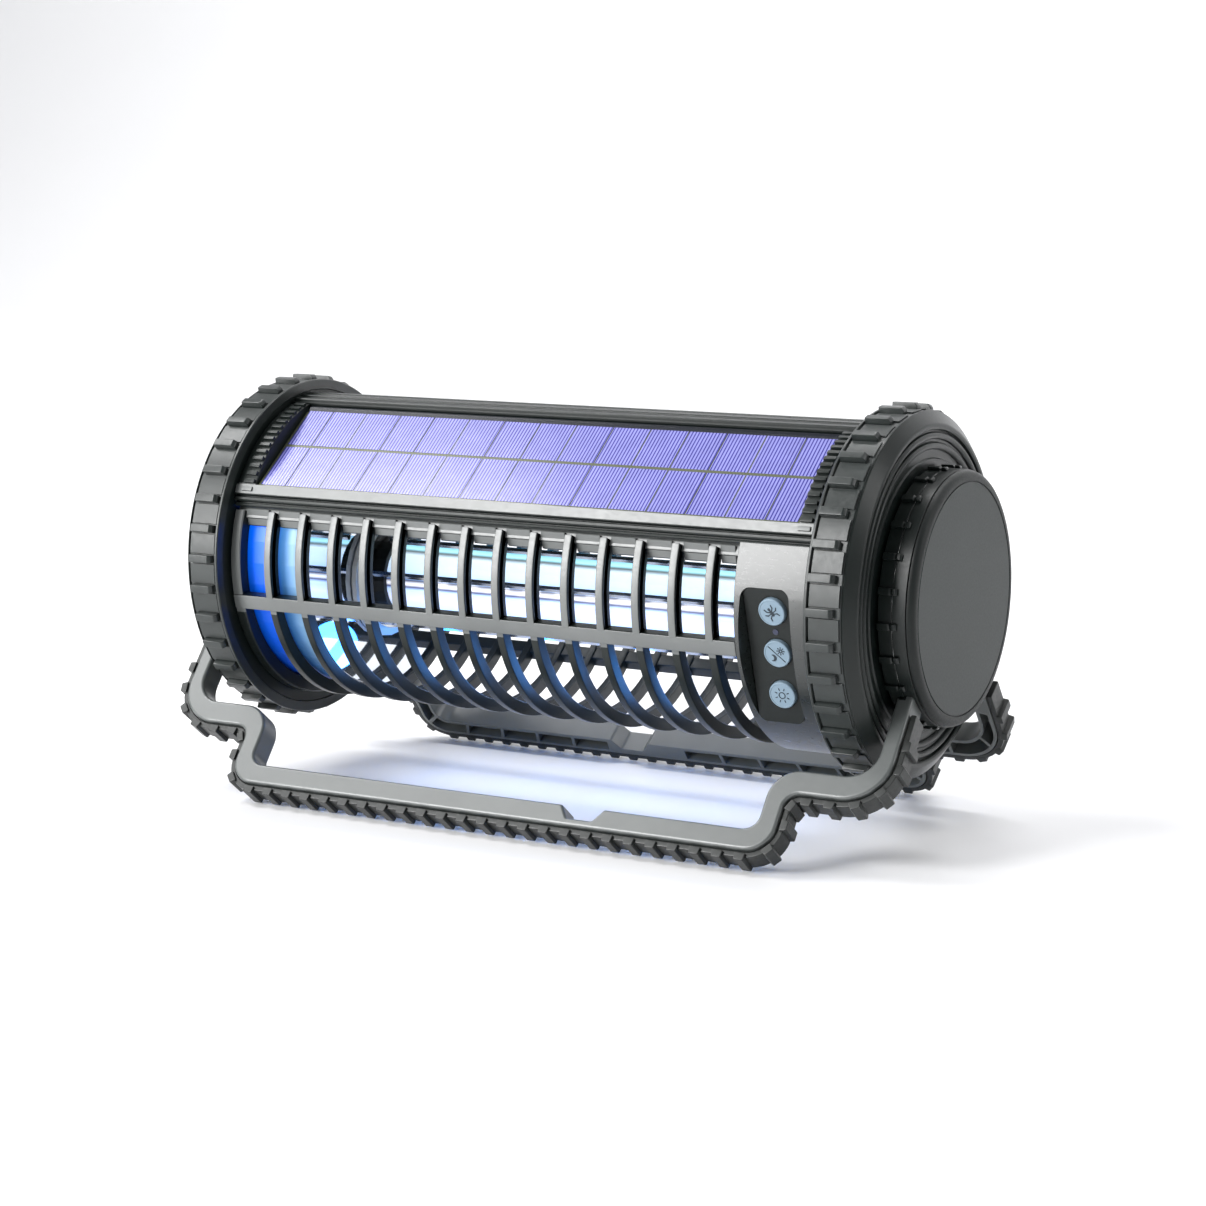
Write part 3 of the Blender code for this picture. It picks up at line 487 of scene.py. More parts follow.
def prism(name, outlines, low_end, high_end, frame_matrix):
    """A flat outline, with any holes in it, given a thickness."""
    curve = bpy.data.curves.new(name, "CURVE")
    curve.dimensions = "2D"
    curve.fill_mode = "BOTH"
    curve.extrude = (high_end - low_end) / 2
    for outline in outlines:
        spline = curve.splines.new("POLY")
        spline.points.add(len(outline) - 1)
        for point, (a, b) in zip(spline.points, outline):
            point.co = (a, b, 0, 1)
        spline.use_cyclic_u = True
    source = place(name, curve)
    bpy.context.view_layer.update()
    graph = bpy.context.evaluated_depsgraph_get()
    mesh = bpy.data.meshes.new_from_object(source.evaluated_get(graph))
    bpy.data.objects.remove(source, do_unlink=True)
    shape = bmesh.new()
    shape.from_mesh(mesh)
    bpy.data.meshes.remove(mesh)
    shape.transform(Matrix.Translation((0, 0, (low_end + high_end) / 2)))
    return from_bmesh(name, shape, frame_matrix)


def turned(name, profile, side, steps):
    """A closed (x, radius) profile turned about the lamp's axis. side -1 mirrors it."""
    shape = bmesh.new()
    rings = []
    for i in range(steps):
        c, s = math.cos(TAU * i / steps), math.sin(TAU * i / steps)
        rings.append([shape.verts.new((side * x, r * c, r * s)) for x, r in profile])
    count = len(profile)
    for ring, following in zip(rings, rings[1:] + rings[:1]):
        for j in range(count):
            k = (j + 1) % count
            if profile[j][1] > 0 or profile[k][1] > 0:
                shape.faces.new((ring[j], following[j], following[k], ring[k]))
    return from_bmesh(name, shape, AXIS)


def loft(name, sections):
    """Skins a row of sections, each a closed loop of the same number of points."""
    shape = bmesh.new()
    loops = [[shape.verts.new(p) for p in section] for section in sections]
    for a, b in zip(loops, loops[1:]):
        for j in range(len(a)):
            k = (j + 1) % len(a)
            shape.faces.new((a[j], b[j], b[k], a[k]))
    shape.faces.new(loops[0])
    shape.faces.new(loops[-1])
    return from_bmesh(name, shape)


def gathered(objects):
    """One bmesh with the faces of several objects in order, in place of them."""
    shape = bmesh.new()
    for obj in objects:
        shape.from_mesh(obj.data)
        bpy.data.objects.remove(obj, do_unlink=True)
    return shape


def joined(name, objects):
    """Several solids as one object."""
    return from_bmesh(name, gathered(objects))


def bake(obj):
    """Applies an object's modifiers to its mesh."""
    graph = bpy.context.evaluated_depsgraph_get()
    mesh = bpy.data.meshes.new_from_object(obj.evaluated_get(graph))
    obj.modifiers.clear()
    obj.data = mesh


def boolean(target, tool, operation="UNION"):
    change = target.modifiers.new("cut", "BOOLEAN")
    change.operation = operation
    change.solver = "MANIFOLD"
    change.object = tool
    bake(target)
    bpy.data.objects.remove(tool, do_unlink=True)


def soften(obj, width, segments, angle):
    """Rounds the edges."""
    bevel = obj.modifiers.new("edges", "BEVEL")
    bevel.width = width
    bevel.segments = segments
    bevel.limit_method = "ANGLE"
    bevel.angle_limit = math.radians(angle)
    bevel.miter_outer = "MITER_ARC"
    bake(obj)
    return obj


def piece(obj, name, body, looks, nodes, smooth=38):
    """Names a finished object, shades it and hangs it on its body."""
    obj.name = obj.data.name = name
    obj.data.materials.clear()
    for look in looks:
        obj.data.materials.append(look)
    obj.data.shade_smooth()
    obj.data.set_sharp_from_angle(angle=math.radians(smooth))
    even = obj.modifiers.new("even", "WEIGHTED_NORMAL")
    even.keep_sharp = True
    even.weight = 60
    bake(obj)
    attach(obj, body)
    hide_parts(*nodes)
    return obj


def repaint(obj, chosen):
    """Gives a piece's second look to the faces for which chosen(face) is true."""
    for face in obj.data.polygons:
        if chosen(face):
            face.material_index = 1


def standing_block(name, profile, half_width, side):
    """A block standing in front of the lamp's axis. profile is its closed (x, radius)
    side view, and half_width is half its width along the circle."""
    out, across = Vector((0, -1, 0)), Vector((0, 0, -1))
    return loft(name, [[Vector((side * x, 0, AXIS_Z)) + out * r + across * offset
                        for x, r in profile] for offset in (-half_width, half_width)])


def swept(name, profile, start, stop, steps, side=1):
    """A closed (x, radius) profile swept round the lamp's axis between two angles."""
    sections = []
    for i in range(steps + 1):
        y, z = polar(1, start + (stop - start) * i / steps)
        sections.append([Vector((side * x, y * r, z * r + AXIS_Z)) for x, r in profile])
    return loft(name, sections)


def slab(name, outline, low_end, high_end, frame_matrix=None):
    """A flat outline without holes, given a thickness. Its two faces are single ones."""
    shape = bmesh.new()
    under = [shape.verts.new((a, b, low_end)) for a, b in outline]
    over = [shape.verts.new((a, b, high_end)) for a, b in outline]
    for i in range(len(outline)):
        k = (i + 1) % len(outline)
        shape.faces.new((under[i], under[k], over[k], over[i]))
    shape.faces.new(under[::-1])
    shape.faces.new(over)
    return from_bmesh(name, shape, frame_matrix)


def round_edges(obj, chosen, width, segments):
    """Bevels only the edges for which chosen(edge) is true."""
    shape = bmesh.new()
    shape.from_mesh(obj.data)
    edges = [edge for edge in shape.edges if chosen(edge)]
    bmesh.ops.bevel(shape, geom=edges, offset=width, segments=segments, profile=0.5,
                    affect="EDGES", clamp_overlap=True)
    shape.to_mesh(obj.data)
    shape.free()


def move(obj, matrix):
    obj.data.transform(matrix)
    if matrix.determinant() < 0:
        obj.data.flip_normals()
    return obj


def round_axis(obj, angles):
    """Copies of an object turned about the lamp's axis, as one object."""
    shape = bmesh.new()
    for degrees in angles:
        first = len(shape.verts)
        shape.from_mesh(obj.data)
        shape.verts.ensure_lookup_table()
        turn = AXIS @ Matrix.Rotation(math.radians(degrees), 4, "X") @ AXIS.inverted()
        bmesh.ops.transform(shape, matrix=turn, verts=shape.verts[first:])
    name = obj.name
    bpy.data.objects.remove(obj, do_unlink=True)
    return from_bmesh(name, shape)


# ---- Bumper rings ----
def bumper_ring(name, side):
    """A rubber tyre: raised pads, and ribs between them that stop short of the +X edge."""
    tread = 59.5 * MM
    base = [(RING_IN, RING_BORE)]
    base += from_x(RING_IN, (0, 60.2), (0.3, 60.5), (0.9, 60.5), (1.15, 60.2), (1.25, 59.5))
    base += [(RING_OUT - 0.5 * MM, tread), (RING_OUT - 0.1 * MM, tread - 0.3 * MM)]
    base += [(RING_OUT, tread - 0.7 * MM), (RING_OUT, RING_BORE)]
    band = turned(name, base, side, ROUND)

    pad_in, pad_out = RING_IN + 1.5 * MM, RING_OUT - 0.55 * MM
    sunk = tread - 0.3 * MM
    pad = [(pad_in, sunk), (pad_in, RING_R), (pad_out, RING_R), (pad_out, sunk)]
    pads = soften(swept("pad", pad, 1.62, 8.38, 4, side), 0.16 * MM, 1, 60)
    pads = round_axis(pads, PAD_TURNS)

    rib_in, rib_out = RING_IN + 1.35 * MM, RING_OUT - 2.2 * MM
    rib = [(rib_in, sunk), (rib_in, RIB_TIP), (rib_out - 0.9 * MM, RIB_TIP)]
    rib += [(rib_out, RIB_TIP - 1.1 * MM), (rib_out, sunk)]
    if side < 0:
        rib = [(RING_IN + RING_OUT - x, r) for x, r in rib]
    ribs = soften(standing_block("rib", rib, 1.4 * MM, side), 0.34 * MM, 2, 30)
    ribs = round_axis(ribs, PAD_TURNS)
    tyre = joined(name, [band, pads, ribs])
    piece(tyre, name + "_tyre", "body", [RUBBER], [name])


# ---- End housings and hub caps ----
def end_housing(name, side):
    """A turned end: a broad chamfered rim, a rounded lip and stepped ridges inside it."""
    profile = [(RING_IN + 0.3 * MM, 49 * MM), (RING_IN + 0.3 * MM, RING_BORE - 0.3 * MM)]
    profile += [(RING_OUT + 0.2 * MM, RING_BORE - 0.3 * MM)]
    profile += from_x(RING_OUT, (0.2, 59.5), (0.45, 59.7), (0.75, 59.5))
    profile += from_x(END_FACE, (-0.35, 55.9), (-0.1, 55.4), (0, 54.9), (-0.05, 54.3),
                      (-0.4, 53.8), (-1.5, 53.6))
    for top, back in ((52.9, 0.05), (49.6, 0.25)):
        for i in range(9):
            turn = math.radians(180 * i / 8)
            profile.append((END_FACE - (back + 1.3 - 1.25 * math.sin(turn)) * MM,
                            (top - 1.2 + 1.2 * math.cos(turn)) * MM))
    profile += from_x(END_FACE, (-1.5, 46.9), (-1.5, 44.6), (-1.0, 44.2), (-1.0, 12.3),
                      (-3, 12.3), (-3, 53.4))
    profile += from_x(RING_IN, (2.5, 53.4), (2.5, 49))
    cover = turned(name, profile, side, ROUND)
    piece(cover, name + "_cover", "body", [BODY], [name], 30)


def hub_cap(name, side):
    """A flat disc in a fine groove, with a rounded shoulder round it."""
    r = 41.3 * MM
    back = CAP_BACK - 0.15 * MM
    profile = [(back, 0), (back, r - 0.3 * MM), (back + 0.15 * MM, r)]
    for i in range(9):
        turn = math.radians(90 * i / 8)
        profile.append((CAP_FACE - 2.1 * MM + 2.1 * MM * math.sin(turn),
                        r - 2.6 * MM + 2.6 * MM * math.cos(turn)))
    profile += [(CAP_FACE - back_by * MM, r - in_by * MM) for back_by, in_by in (
        (0, 3.3), (0.12, 3.45), (0.4, 3.5), (0.4, 3.75), (0.15, 3.8), (0.05, 3.95))]
    profile += [(CAP_FACE - 0.05 * MM, 0)]
    cap = turned(name, profile, side, ROUND)
    cap = piece(cap, name + "_disc", "body", [DARK, DISC], [name], 30)

    def on_disc(face):
        reach = math.hypot(face.center.y, face.center.z - AXIS_Z)
        return abs(face.center.x) > CAP_FACE - 0.1 * MM and reach < r - 3.85 * MM

    repaint(cap, on_disc)


# ---- Legs ----
def leg_edge(outer, steps=10):
    """Half of a leg's outer or inner edge, from its hub to the middle of its bar."""
    if outer:
        corners = [(ARM_OUT, LEG_ROOT, 0), (ARM_OUT, 78 * MM, 15 * MM)]
        corners += [(104.4 * MM, 78 * MM, 5 * MM), (104.4 * MM, BAR_OUT, 9 * MM), (0, BAR_OUT, 0)]
    else:
        corners = [(ARM_IN, LEG_ROOT, 0), (ARM_IN, 69.9 * MM, 9.5 * MM)]
        corners += [(97.8 * MM, 69.9 * MM, 10 * MM), (97.8 * MM, BAR_IN, 5 * MM), (0, BAR_IN, 0)]
    return rounded(corners, steps)


def distances(path):
    """How far along a path each of its points lies."""
    lengths = [0.0]
    for a, b in zip(path, path[1:]):
        lengths.append(lengths[-1] + (b - a).length)
    return lengths


def stretch(lengths, distance):
    """Which stretch of a path a distance falls in, and its share of that stretch."""
    i = 0
    while i < len(lengths) - 2 and lengths[i + 1] < distance:
        i += 1
    span = lengths[i + 1] - lengths[i]
    return i, (distance - lengths[i]) / span if span else 0.0


def channel_pockets(middle):
    """The hollows in a leg's inner face, between webs across it, except at its notch."""
    half = [(a, b) for a, b in zip(leg_edge(True), leg_edge(False))
            if a.y > 47 * MM or a.x < ARM_OUT - 1 * MM]
    half.insert(0, (Vector((ARM_OUT, 47 * MM)), Vector((ARM_IN, 47 * MM))))
    corner, end = half[-2:]
    half[-1:-1] = [(corner[0].lerp(end[0], i / 40), corner[1].lerp(end[1], i / 40))
                   for i in range(1, 40)]
    rows = half + [(Vector((-a.x, a.y)), Vector((-b.x, b.y))) for a, b in reversed(half[:-1])]
    lengths = distances([(a + b) / 2 for a, b in rows])

    def walls(distance):
        i, share = stretch(lengths, distance)
        a = rows[i][0].lerp(rows[i + 1][0], share)
        b = rows[i][1].lerp(rows[i + 1][1], share)
        across = (b - a).normalized() * 1.35 * MM
        return a + across, b - across

    pitch, web = 15.6 * MM, 0.65 * MM
    count = int(lengths[-1] / pitch)
    first = (lengths[-1] - count * pitch) / 2
    cuts = []
    for i in range(count):
        start, stop = first + i * pitch + web, first + (i + 1) * pitch - web
        marks = [start] + [d for d in lengths if start < d < stop] + [stop]
        edges = [walls(d) for d in marks]
        centre = (edges[0][0] + edges[-1][1]) / 2
        if abs(centre.x - middle) < 17 * MM and centre.y > 90 * MM:
            continue
        outline = [e[0] for e in edges] + [e[1] for e in reversed(edges)]
        cuts.append(slab("pocket", outline, LEG_T[0] - 1 * MM, 6.3 * MM))
    return joined("pockets", cuts)


def collar(side, span, angles, rib_end):
    """A leg's ring round the hub, with grip ribs across it."""
    low_x, high_x = span
    profile = [(low_x, COLLAR_BORE), (low_x, COLLAR_R - 0.15 * MM), (low_x + 0.15 * MM, COLLAR_R)]
    profile += [(high_x - 0.15 * MM, COLLAR_R), (high_x, COLLAR_R - 0.15 * MM)]
    profile += [(high_x, COLLAR_BORE)]
    ring = turned("collar", profile, side, 120)
    tip, sunk = 42.55 * MM, COLLAR_R - 0.5 * MM
    rib = [(low_x + 0.02 * MM, sunk), (low_x + 0.02 * MM, tip)]
    rib += [(rib_end - 0.5 * MM, tip), (rib_end, tip - 0.5 * MM), (rib_end, sunk)]
    ribs = soften(standing_block("rib", rib, 1.1 * MM, side), 0.22 * MM, 2, 30)
    return [ring, round_axis(ribs, angles)]


def leg(name, side, root, span, middle, rib_end):
    """A stepped U in one plane: smooth outside, a webbed channel inside, a finger notch
    whose middle is at X = middle in that plane, and at each end a collar on the hub."""
    inner = leg_edge(False)[1:-1]
    right = root + [tuple(p) for p in leg_edge(True)[1:-1]]
    outline = right + [(-x, r) for x, r in reversed(right)] + [(-x, r) for x, r in inner]
    top = BAR_IN + 4.5 * MM
    outline += rounded([
        (middle - 10 * MM, BAR_IN, 0), (middle - 7.8 * MM, BAR_IN, 1.2 * MM),
        (middle - 4.6 * MM, top, 1.2 * MM), (middle + 4.6 * MM, top, 1.2 * MM),
        (middle + 7.8 * MM, BAR_IN, 1.2 * MM), (middle + 10 * MM, BAR_IN, 0)], 4)
    outline += inner[::-1]
    low_t, high_t = LEG_T
    bar = slab(name, outline, low_t, high_t)

    def outer_rim(edge):
        return all(v.co.z > high_t - 1e-6 for v in edge.verts)

    def inner_rim(edge):
        return all(v.co.z < low_t + 1e-6 for v in edge.verts)

    round_edges(bar, outer_rim, 2.4 * MM, 6)
    round_edges(bar, inner_rim, 0.3 * MM, 2)
    boolean(bar, channel_pockets(middle), "DIFFERENCE")
    move(bar, leg_frame(side))
    parts = [bar]
    arm_at = LEG_ANGLE if side < 0 else 180 - LEG_ANGLE
    clear = [a for a in GRIP_TURNS if abs((a - arm_at + 180) % 360 - 180) > 12]
    for end in (-1, 1):
        parts += collar(end, span, clear, rib_end)
    made = piece(joined(name, parts), name + "_shell", name, [LEGS, BODY], [name], 40)
    repaint(made, lambda face: math.hypot(face.center.y, face.center.z - AXIS_Z) < LEG_ROOT)


def leg_tread(name, side):
    """The rubber strip round a leg's outer edge, with blocks standing across it."""
    half = leg_edge(True, 12)
    half[0] = Vector((ARM_OUT, 46 * MM))
    path = half[:-1] + [Vector((-p.x, p.y)) for p in reversed(half[:-1])]
    lengths = distances(path)

    def at(distance):
        i, share = stretch(lengths, distance)
        ahead = (path[i + 1] - path[i]).normalized()
        return path[i].lerp(path[i + 1], share), ahead, -Vector((-ahead.y, ahead.x))

    def out(distance, height):
        here, _, away = at(distance)
        return here + away * height

    inner = [out(d, 0.25 * MM) for d in reversed(lengths)]
    outer = [out(d, 2.2 * MM) for d in lengths]
    strip = slab(name, outer + inner, LEG_T[0] + 0.3 * MM, 6.7 * MM)
    soften(strip, 0.4 * MM, 2, 50)
    pitch = 7.9 * MM
    count = int((lengths[-1] - 12 * MM) / pitch)
    first = (lengths[-1] - (count - 1) * pitch) / 2
    blocks = []
    for i in range(count):
        here, ahead, away = at(first + i * pitch)
        section = [here + ahead * step * MM + away * height * MM for step, height in (
            (-2.0, 1.0), (-1.7, 3.2), (-1.4, 3.5), (1.4, 3.5), (1.7, 3.2), (2.0, 1.0))]
        blocks.append(slab("block", section, LEG_T[0] + 0.2 * MM, 7.6 * MM))
    ribs = soften(joined("ribs", blocks), 0.3 * MM, 2, 50)
    made = move(joined(name, [strip, ribs]), leg_frame(side))
    leg_name = name.replace("_tread", "")
    piece(made, name + "_strip", leg_name, [TREAD], [name], 35)


# ---- Solar panel ----
def solar_frame():
    """One long moulding: a bevelled lower edge over two fine rails, three rails along
    its top and, at each end, a curved cheek with a row of lugs."""
    def at(*places):
        return [solar_polar(radius * MM, degrees) for radius, degrees in places]

    wall = 20.9 * MM
    section = [solar(-23.4 * MM, 44.6 * MM), solar(-26.6 * MM, 45.9 * MM)]
    section += at((53.2, -29.9), (53.7, -29.75), (53.9, -29.3), (53.75, -28.8), (53.2, -28.6))
    section += at((53.2, -28.35), (54.5, -28.2), (54.8, -27.8), (54.8, -27.0), (54.5, -26.6))
    section += at((53.9, -26.45), (53.9, -26.2), (55.3, -26.0), (55.45, -25.7))
    section += [solar(-wall - 0.3 * MM, 51.5 * MM), solar(-wall, 51.2 * MM)]
    section += [solar(-wall, 48 * MM), solar(wall, 48 * MM)]
    section += [solar(wall, 51.3 * MM), solar(wall + 0.3 * MM, 51.7 * MM)]
    for middle in (25.5, 30.0, 34.5):
        section += at((54.9, middle - 1.5), (56.0, middle - 1.25), (56.2, middle - 0.9))
        section += at((56.2, middle + 0.9), (56.0, middle + 1.25), (54.9, middle + 1.5))
    section += at((54.9, 38), (54.4, 40.5), (53.8, 41), (48.5, 41), (48.5, 30))
    section += [solar(18 * MM, 45 * MM)]
    parts = [slab("solar_frame", section, -BODY_END, BODY_END, ALONG_X)]

    cheek = [solar(22 * MM, 46.5 * MM), solar(-22 * MM, 46.5 * MM)]
    cheek += at(*((55.1, -25 + 47.3 * i / 28) for i in range(29)))
    lug = from_x(PANEL_END, (0.6, 54.7), (0.6, 56.1), (5.0, 56.1), (5.0, 54.7))
    lug_turns = [-(52 + -24.1 + 47.0 * i / 15) for i in range(15)]
    for side in (-1, 1):
        start, stop = sorted((side * (PANEL_END + 0.3 * MM), side * (BODY_END - 0.1 * MM)))
        parts.append(soften(slab("cheek", cheek, start, stop, ALONG_X), 0.35 * MM, 2, 40))
        lugs = soften(standing_block("lug", lug, 0.78 * MM, side), 0.22 * MM, 2, 40)
        parts.append(round_axis(lugs, lug_turns))
    made = piece(joined("solar_frame", parts), "solar_frame_moulding", "body", [BODY, PAINTED_HIGHLIGHT],
                 ["solar_frame"], 24)
    turn = Matrix.Rotation(math.radians(-SOLAR_TILT), 3, "X")

    def on_lower_edge(face):
        spot, way = turn @ (face.center - Vector((0, 0, AXIS_Z))), turn @ face.normal
        return -25.5 * MM < spot.y < -20.95 * MM and spot.z > 50.6 * MM and way.z > 0.3

    # The upward faces of the lower edge take the lighter grey: a painted highlight.
    repaint(made, on_lower_edge)


def solar_panel():
    """A dark laminate with two rows of cells under its clear face."""
    half, top = 20.6 * MM, CELL_PLANE
    base = [solar(s, h) for s, h in box_outline(-half, half, top - 2.2 * MM, top - 0.25 * MM)]
    plate = soften(slab("solar_panel", base, -PANEL_END, PANEL_END, ALONG_X), 0.2 * MM, 2, 40)
    tiles = []
    gap, pitch = 0.24 * MM, 14.2 * MM
    edges = [-103.2 * MM] + [-92.6 * MM + pitch * i for i in range(14)] + [103.6 * MM]
    for low_s, high_s in ((-19.6, -0.62), (0.62, 17.9)):
        face = [solar(s * MM, top - h * MM) for s, h in
                ((low_s, 0.5), (high_s, 0.5), (high_s, 0.1), (low_s, 0.1))]
        for a, b in zip(edges, edges[1:]):
            tiles.append(slab("cell", face, a + gap, b - gap, ALONG_X))
    made = piece(joined("solar_panel", [plate] + tiles), "solar_panel_laminate", "body",
                 [BORDER, CELLS], ["solar_panel"])
    c, s = math.cos(math.radians(SOLAR_TILT)), math.sin(math.radians(SOLAR_TILT))
    repaint(made, lambda face: (face.center.z - AXIS_Z) * c - face.center.y * s > top - 0.2 * MM)


# ---- Guard cage ----
def guard_cage():
    """Flat-sided hoops round the lamp, tied by bars, with wedge blocks under the panel."""
    parts = []
    half = 1.4 * MM
    for middle in HOOP_MIDDLES:
        for inner, outer, span in ((48.5, 52.8, (*HOOP_ARC, 72)), (50, 53.5, (-20.6, 12.6, 10))):
            flat = [(middle - half, inner * MM), (middle - half, outer * MM),
                    (middle + half, outer * MM), (middle + half, inner * MM)]
            parts.append(soften(swept("hoop", flat, *span), 0.4 * MM, 2, 50))
    edge = from_x(-BODY_END, (0, 48.4), (0, 52.6), (0.4, 53))
    edge += from_x(0, (-108.4, 53), (-108, 52.6), (-108, 48.4))
    parts.append(swept("edge", edge, *HOOP_ARC, 72))
    left, right = -BODY_END + 0.2 * MM, HOUSING_X - 0.3 * MM
    for inner, outer, low_a, high_a in ((49.0, 53.4, 11.8, 17.4), (49.0, 53.4, 129.5, 135.1),
                                        (48.2, 51.4, -22.5, -18.0), (48.2, 53.1, 260.5, 265.2)):
        bar = arc(outer * MM, low_a, high_a, 2) + arc(inner * MM, high_a, low_a, 2)
        parts.append(soften(slab("bar", bar, left, right, ALONG_X), 0.45 * MM, 2, 40))
    wedge = [polar(radius * MM, degrees) for radius, degrees in (
        (52.6, -21.4), (49.6, -15.4), (47.2, -15.6), (48, -22))]
    marks = [-109.8 * MM] + HOOP_MIDDLES + [HOUSING_X]
    wedges = [slab("wedge", wedge, a + 2.0 * MM, b - 2.0 * MM, ALONG_X)
              for a, b in zip(marks, marks[1:])]
    parts.append(soften(joined("wedges", wedges), 0.2 * MM, 1, 40))
    cage = piece(joined("guard_cage", parts), "guard_cage_hoops", "body", [BODY, PAINTED_HIGHLIGHT],
                 ["guard_cage"], 30)

    def on_front_face(face):
        y, z = face.center.y, face.center.z - AXIS_Z
        below = math.degrees(math.atan2(-z, -y))
        outward = Vector((0, y, z)).normalized().dot(face.normal)
        return y < 0 and below < 18 and outward > 0.6 and math.hypot(y, z) > 48 * MM

    # The outward faces at the upper front take the lighter grey: a painted highlight.
    repaint(cage, on_front_face)


# ---- Control end ----
def pocket_outline(grow):
    low_x, high_x = 87.5 * MM - grow, 103.9 * MM + grow
    low_u, high_u = -22 * MM - grow, 25 * MM + grow
    return eased(box_outline(-high_x, -low_x, low_u, high_u), 3.0 * MM + grow, 6)


def key_hole(radius, steps, number):
    """A circle round a key's middle. Its number is -1, 0 or 1, from the top down."""
    return circle(radius, steps, (-BUTTON_X, number * BUTTON_PITCH))


def control_housing():
    """A smooth drum with a round-cornered pocket that slopes in to the keys."""
    low_a, high_a = -22.6, 264.9
    outline = arc(HOUSING_R, low_a, high_a, 96) + arc(51.4 * MM, high_a, low_a, 96)
    shell = slab("control_housing", outline, HOUSING_X, BODY_END, ALONG_X)
    soften(shell, 0.35 * MM, 2, 50)
    rim = arc(51.9 * MM, -20, 264.5, 60)
    rim += [solar_polar(47.6 * MM, 42), solar_polar(47.6 * MM, 30), solar(17.7 * MM, 44.2 * MM)]
    lamp_hole = circle(12.2 * MM, 32, (0, LAMP_Z - AXIS_Z))
    bulkhead_x = (HOUSING_X + 0.1 * MM, HOUSING_X + 2.2 * MM)
    boolean(shell, prism("bulkhead", [rim, lamp_hole], *bulkhead_x, ALONG_X))
    floor = PANEL_FACE - 1.5 * MM
    block = arc(53.1 * MM, PANEL_ANGLE - 27.5, PANEL_ANGLE + 31.2, 16)
    for tilt in (31.2, -27.5):
        block.append(polar((floor - 2 * MM) / math.cos(math.radians(tilt)), PANEL_ANGLE + tilt))
    boolean(shell, slab("block", block, HOUSING_X + 0.15 * MM, 105 * MM, ALONG_X))
    outer, inner = pocket_outline(1.5 * MM), pocket_outline(0)
    outwards = facing(PANEL_ANGLE)
    layers = [(inner, floor), (inner, PANEL_FACE + 0.4 * MM), (outer, HOUSING_R + 1.5 * MM)]
    sections = [[outwards @ Vector((a, b, h)) for a, b in ring] for ring, h in layers]
    boolean(shell, loft("pocket", sections), "DIFFERENCE")
    for number in (-1, 0, 1):
        hole = slab("hole", key_hole(5 * MM, 40, number), floor - 6 * MM, floor + 1 * MM, outwards)
        boolean(shell, hole, "DIFFERENCE")
    soften(shell, 0.12 * MM, 1, 50)
    piece(shell, "control_housing_shell", "body", [SHELL], ["control_housing"], 28)


def control_panel():
    """The dark plate in the pocket, with a hole for each key and one for the small light."""
    outlines = [pocket_outline(-0.25 * MM)]
    outlines += [key_hole(4.85 * MM, 40, number) for number in (-1, 0, 1)]
    outlines.append(circle(0.85 * MM, 20, (-BUTTON_X, -BUTTON_PITCH / 2)))
    plate = prism("control_panel", outlines, PANEL_FACE - 1.2 * MM, PANEL_FACE,
                  facing(PANEL_ANGLE))
    soften(plate, 0.15 * MM, 2, 50)
    piece(plate, "control_panel_plate", "body", [DARK], ["control_panel"])


def ray_block(width, start, stop, degrees, centre, levels):
    """A small bar lying on a key, pointing out from a centre."""
    turn = Matrix.Rotation(math.radians(degrees), 2)
    corners = box_outline(start, stop, -width / 2, width / 2)
    outline = [turn @ Vector(corner) + Vector(centre) for corner in corners]
    return slab("mark", eased(outline, width * 0.35, 2), *levels)


def sun_marks(centre, ring, thick, ray_in, ray_out, levels, turn=0.0):
    """A ring with eight rays round it."""
    rings = [circle(ring + thick / 2, 28, centre), circle(ring - thick / 2, 28, centre)]
    return [prism("sun", rings, *levels, Matrix.Identity(4))] + [
        ray_block(thick, ray_in, ray_out, turn + 45 * i, centre, levels) for i in range(8)]


def insect_marks(levels):
    """A plain insect: a body, a head and three pairs of bent legs."""
    marks = []
    for centre, half_a, half_b in (((0, 0.35), 0.50, 1.15), ((0, -1.2), 0.42, 0.5)):
        outline = [((centre[0] + half_a * math.cos(TAU * i / 20)) * MM,
                    (centre[1] + half_b * math.sin(TAU * i / 20)) * MM) for i in range(20)]
        marks.append(slab("mark", outline, *levels))
    legs = (((0.45, -0.3), (1.3, -1.0), (1.5, -2.0)), ((0.5, 0.3), (1.7, 0.3), (2.4, -0.3)),
            ((0.45, 0.9), (1.4, 1.4), (1.7, 2.3)))
    for flip in (-1, 1):
        for points in legs:
            corners = [Vector((flip * a * MM, b * MM)) for a, b in points]
            for a, b in zip(corners, corners[1:]):
                ahead = (b - a).normalized() * 0.1 * MM
                across = Vector((-ahead.y, ahead.x)) * 1.5
                outline = [a - ahead - across, b + ahead - across,
                           b + ahead + across, a - ahead + across]
                marks.append(slab("mark", outline, *levels))
    turn = Matrix.Rotation(math.radians(38), 4, "Z")
    return [move(mark, turn) for mark in marks]


def moon_mark(centre, radius, levels):
    """A crescent: the part of one disc that another leaves clear."""
    def bend(x, reach, angles):
        return [(x + reach * math.cos(math.radians(a)),
                 centre[1] + reach * math.sin(math.radians(a))) for a in angles]

    inner = bend(centre[0] + 0.55 * radius, 0.82 * radius, range(260, 99, -16))
    return slab("moon", bend(centre[0], radius, range(56, 305, 12)) + inner, *levels)


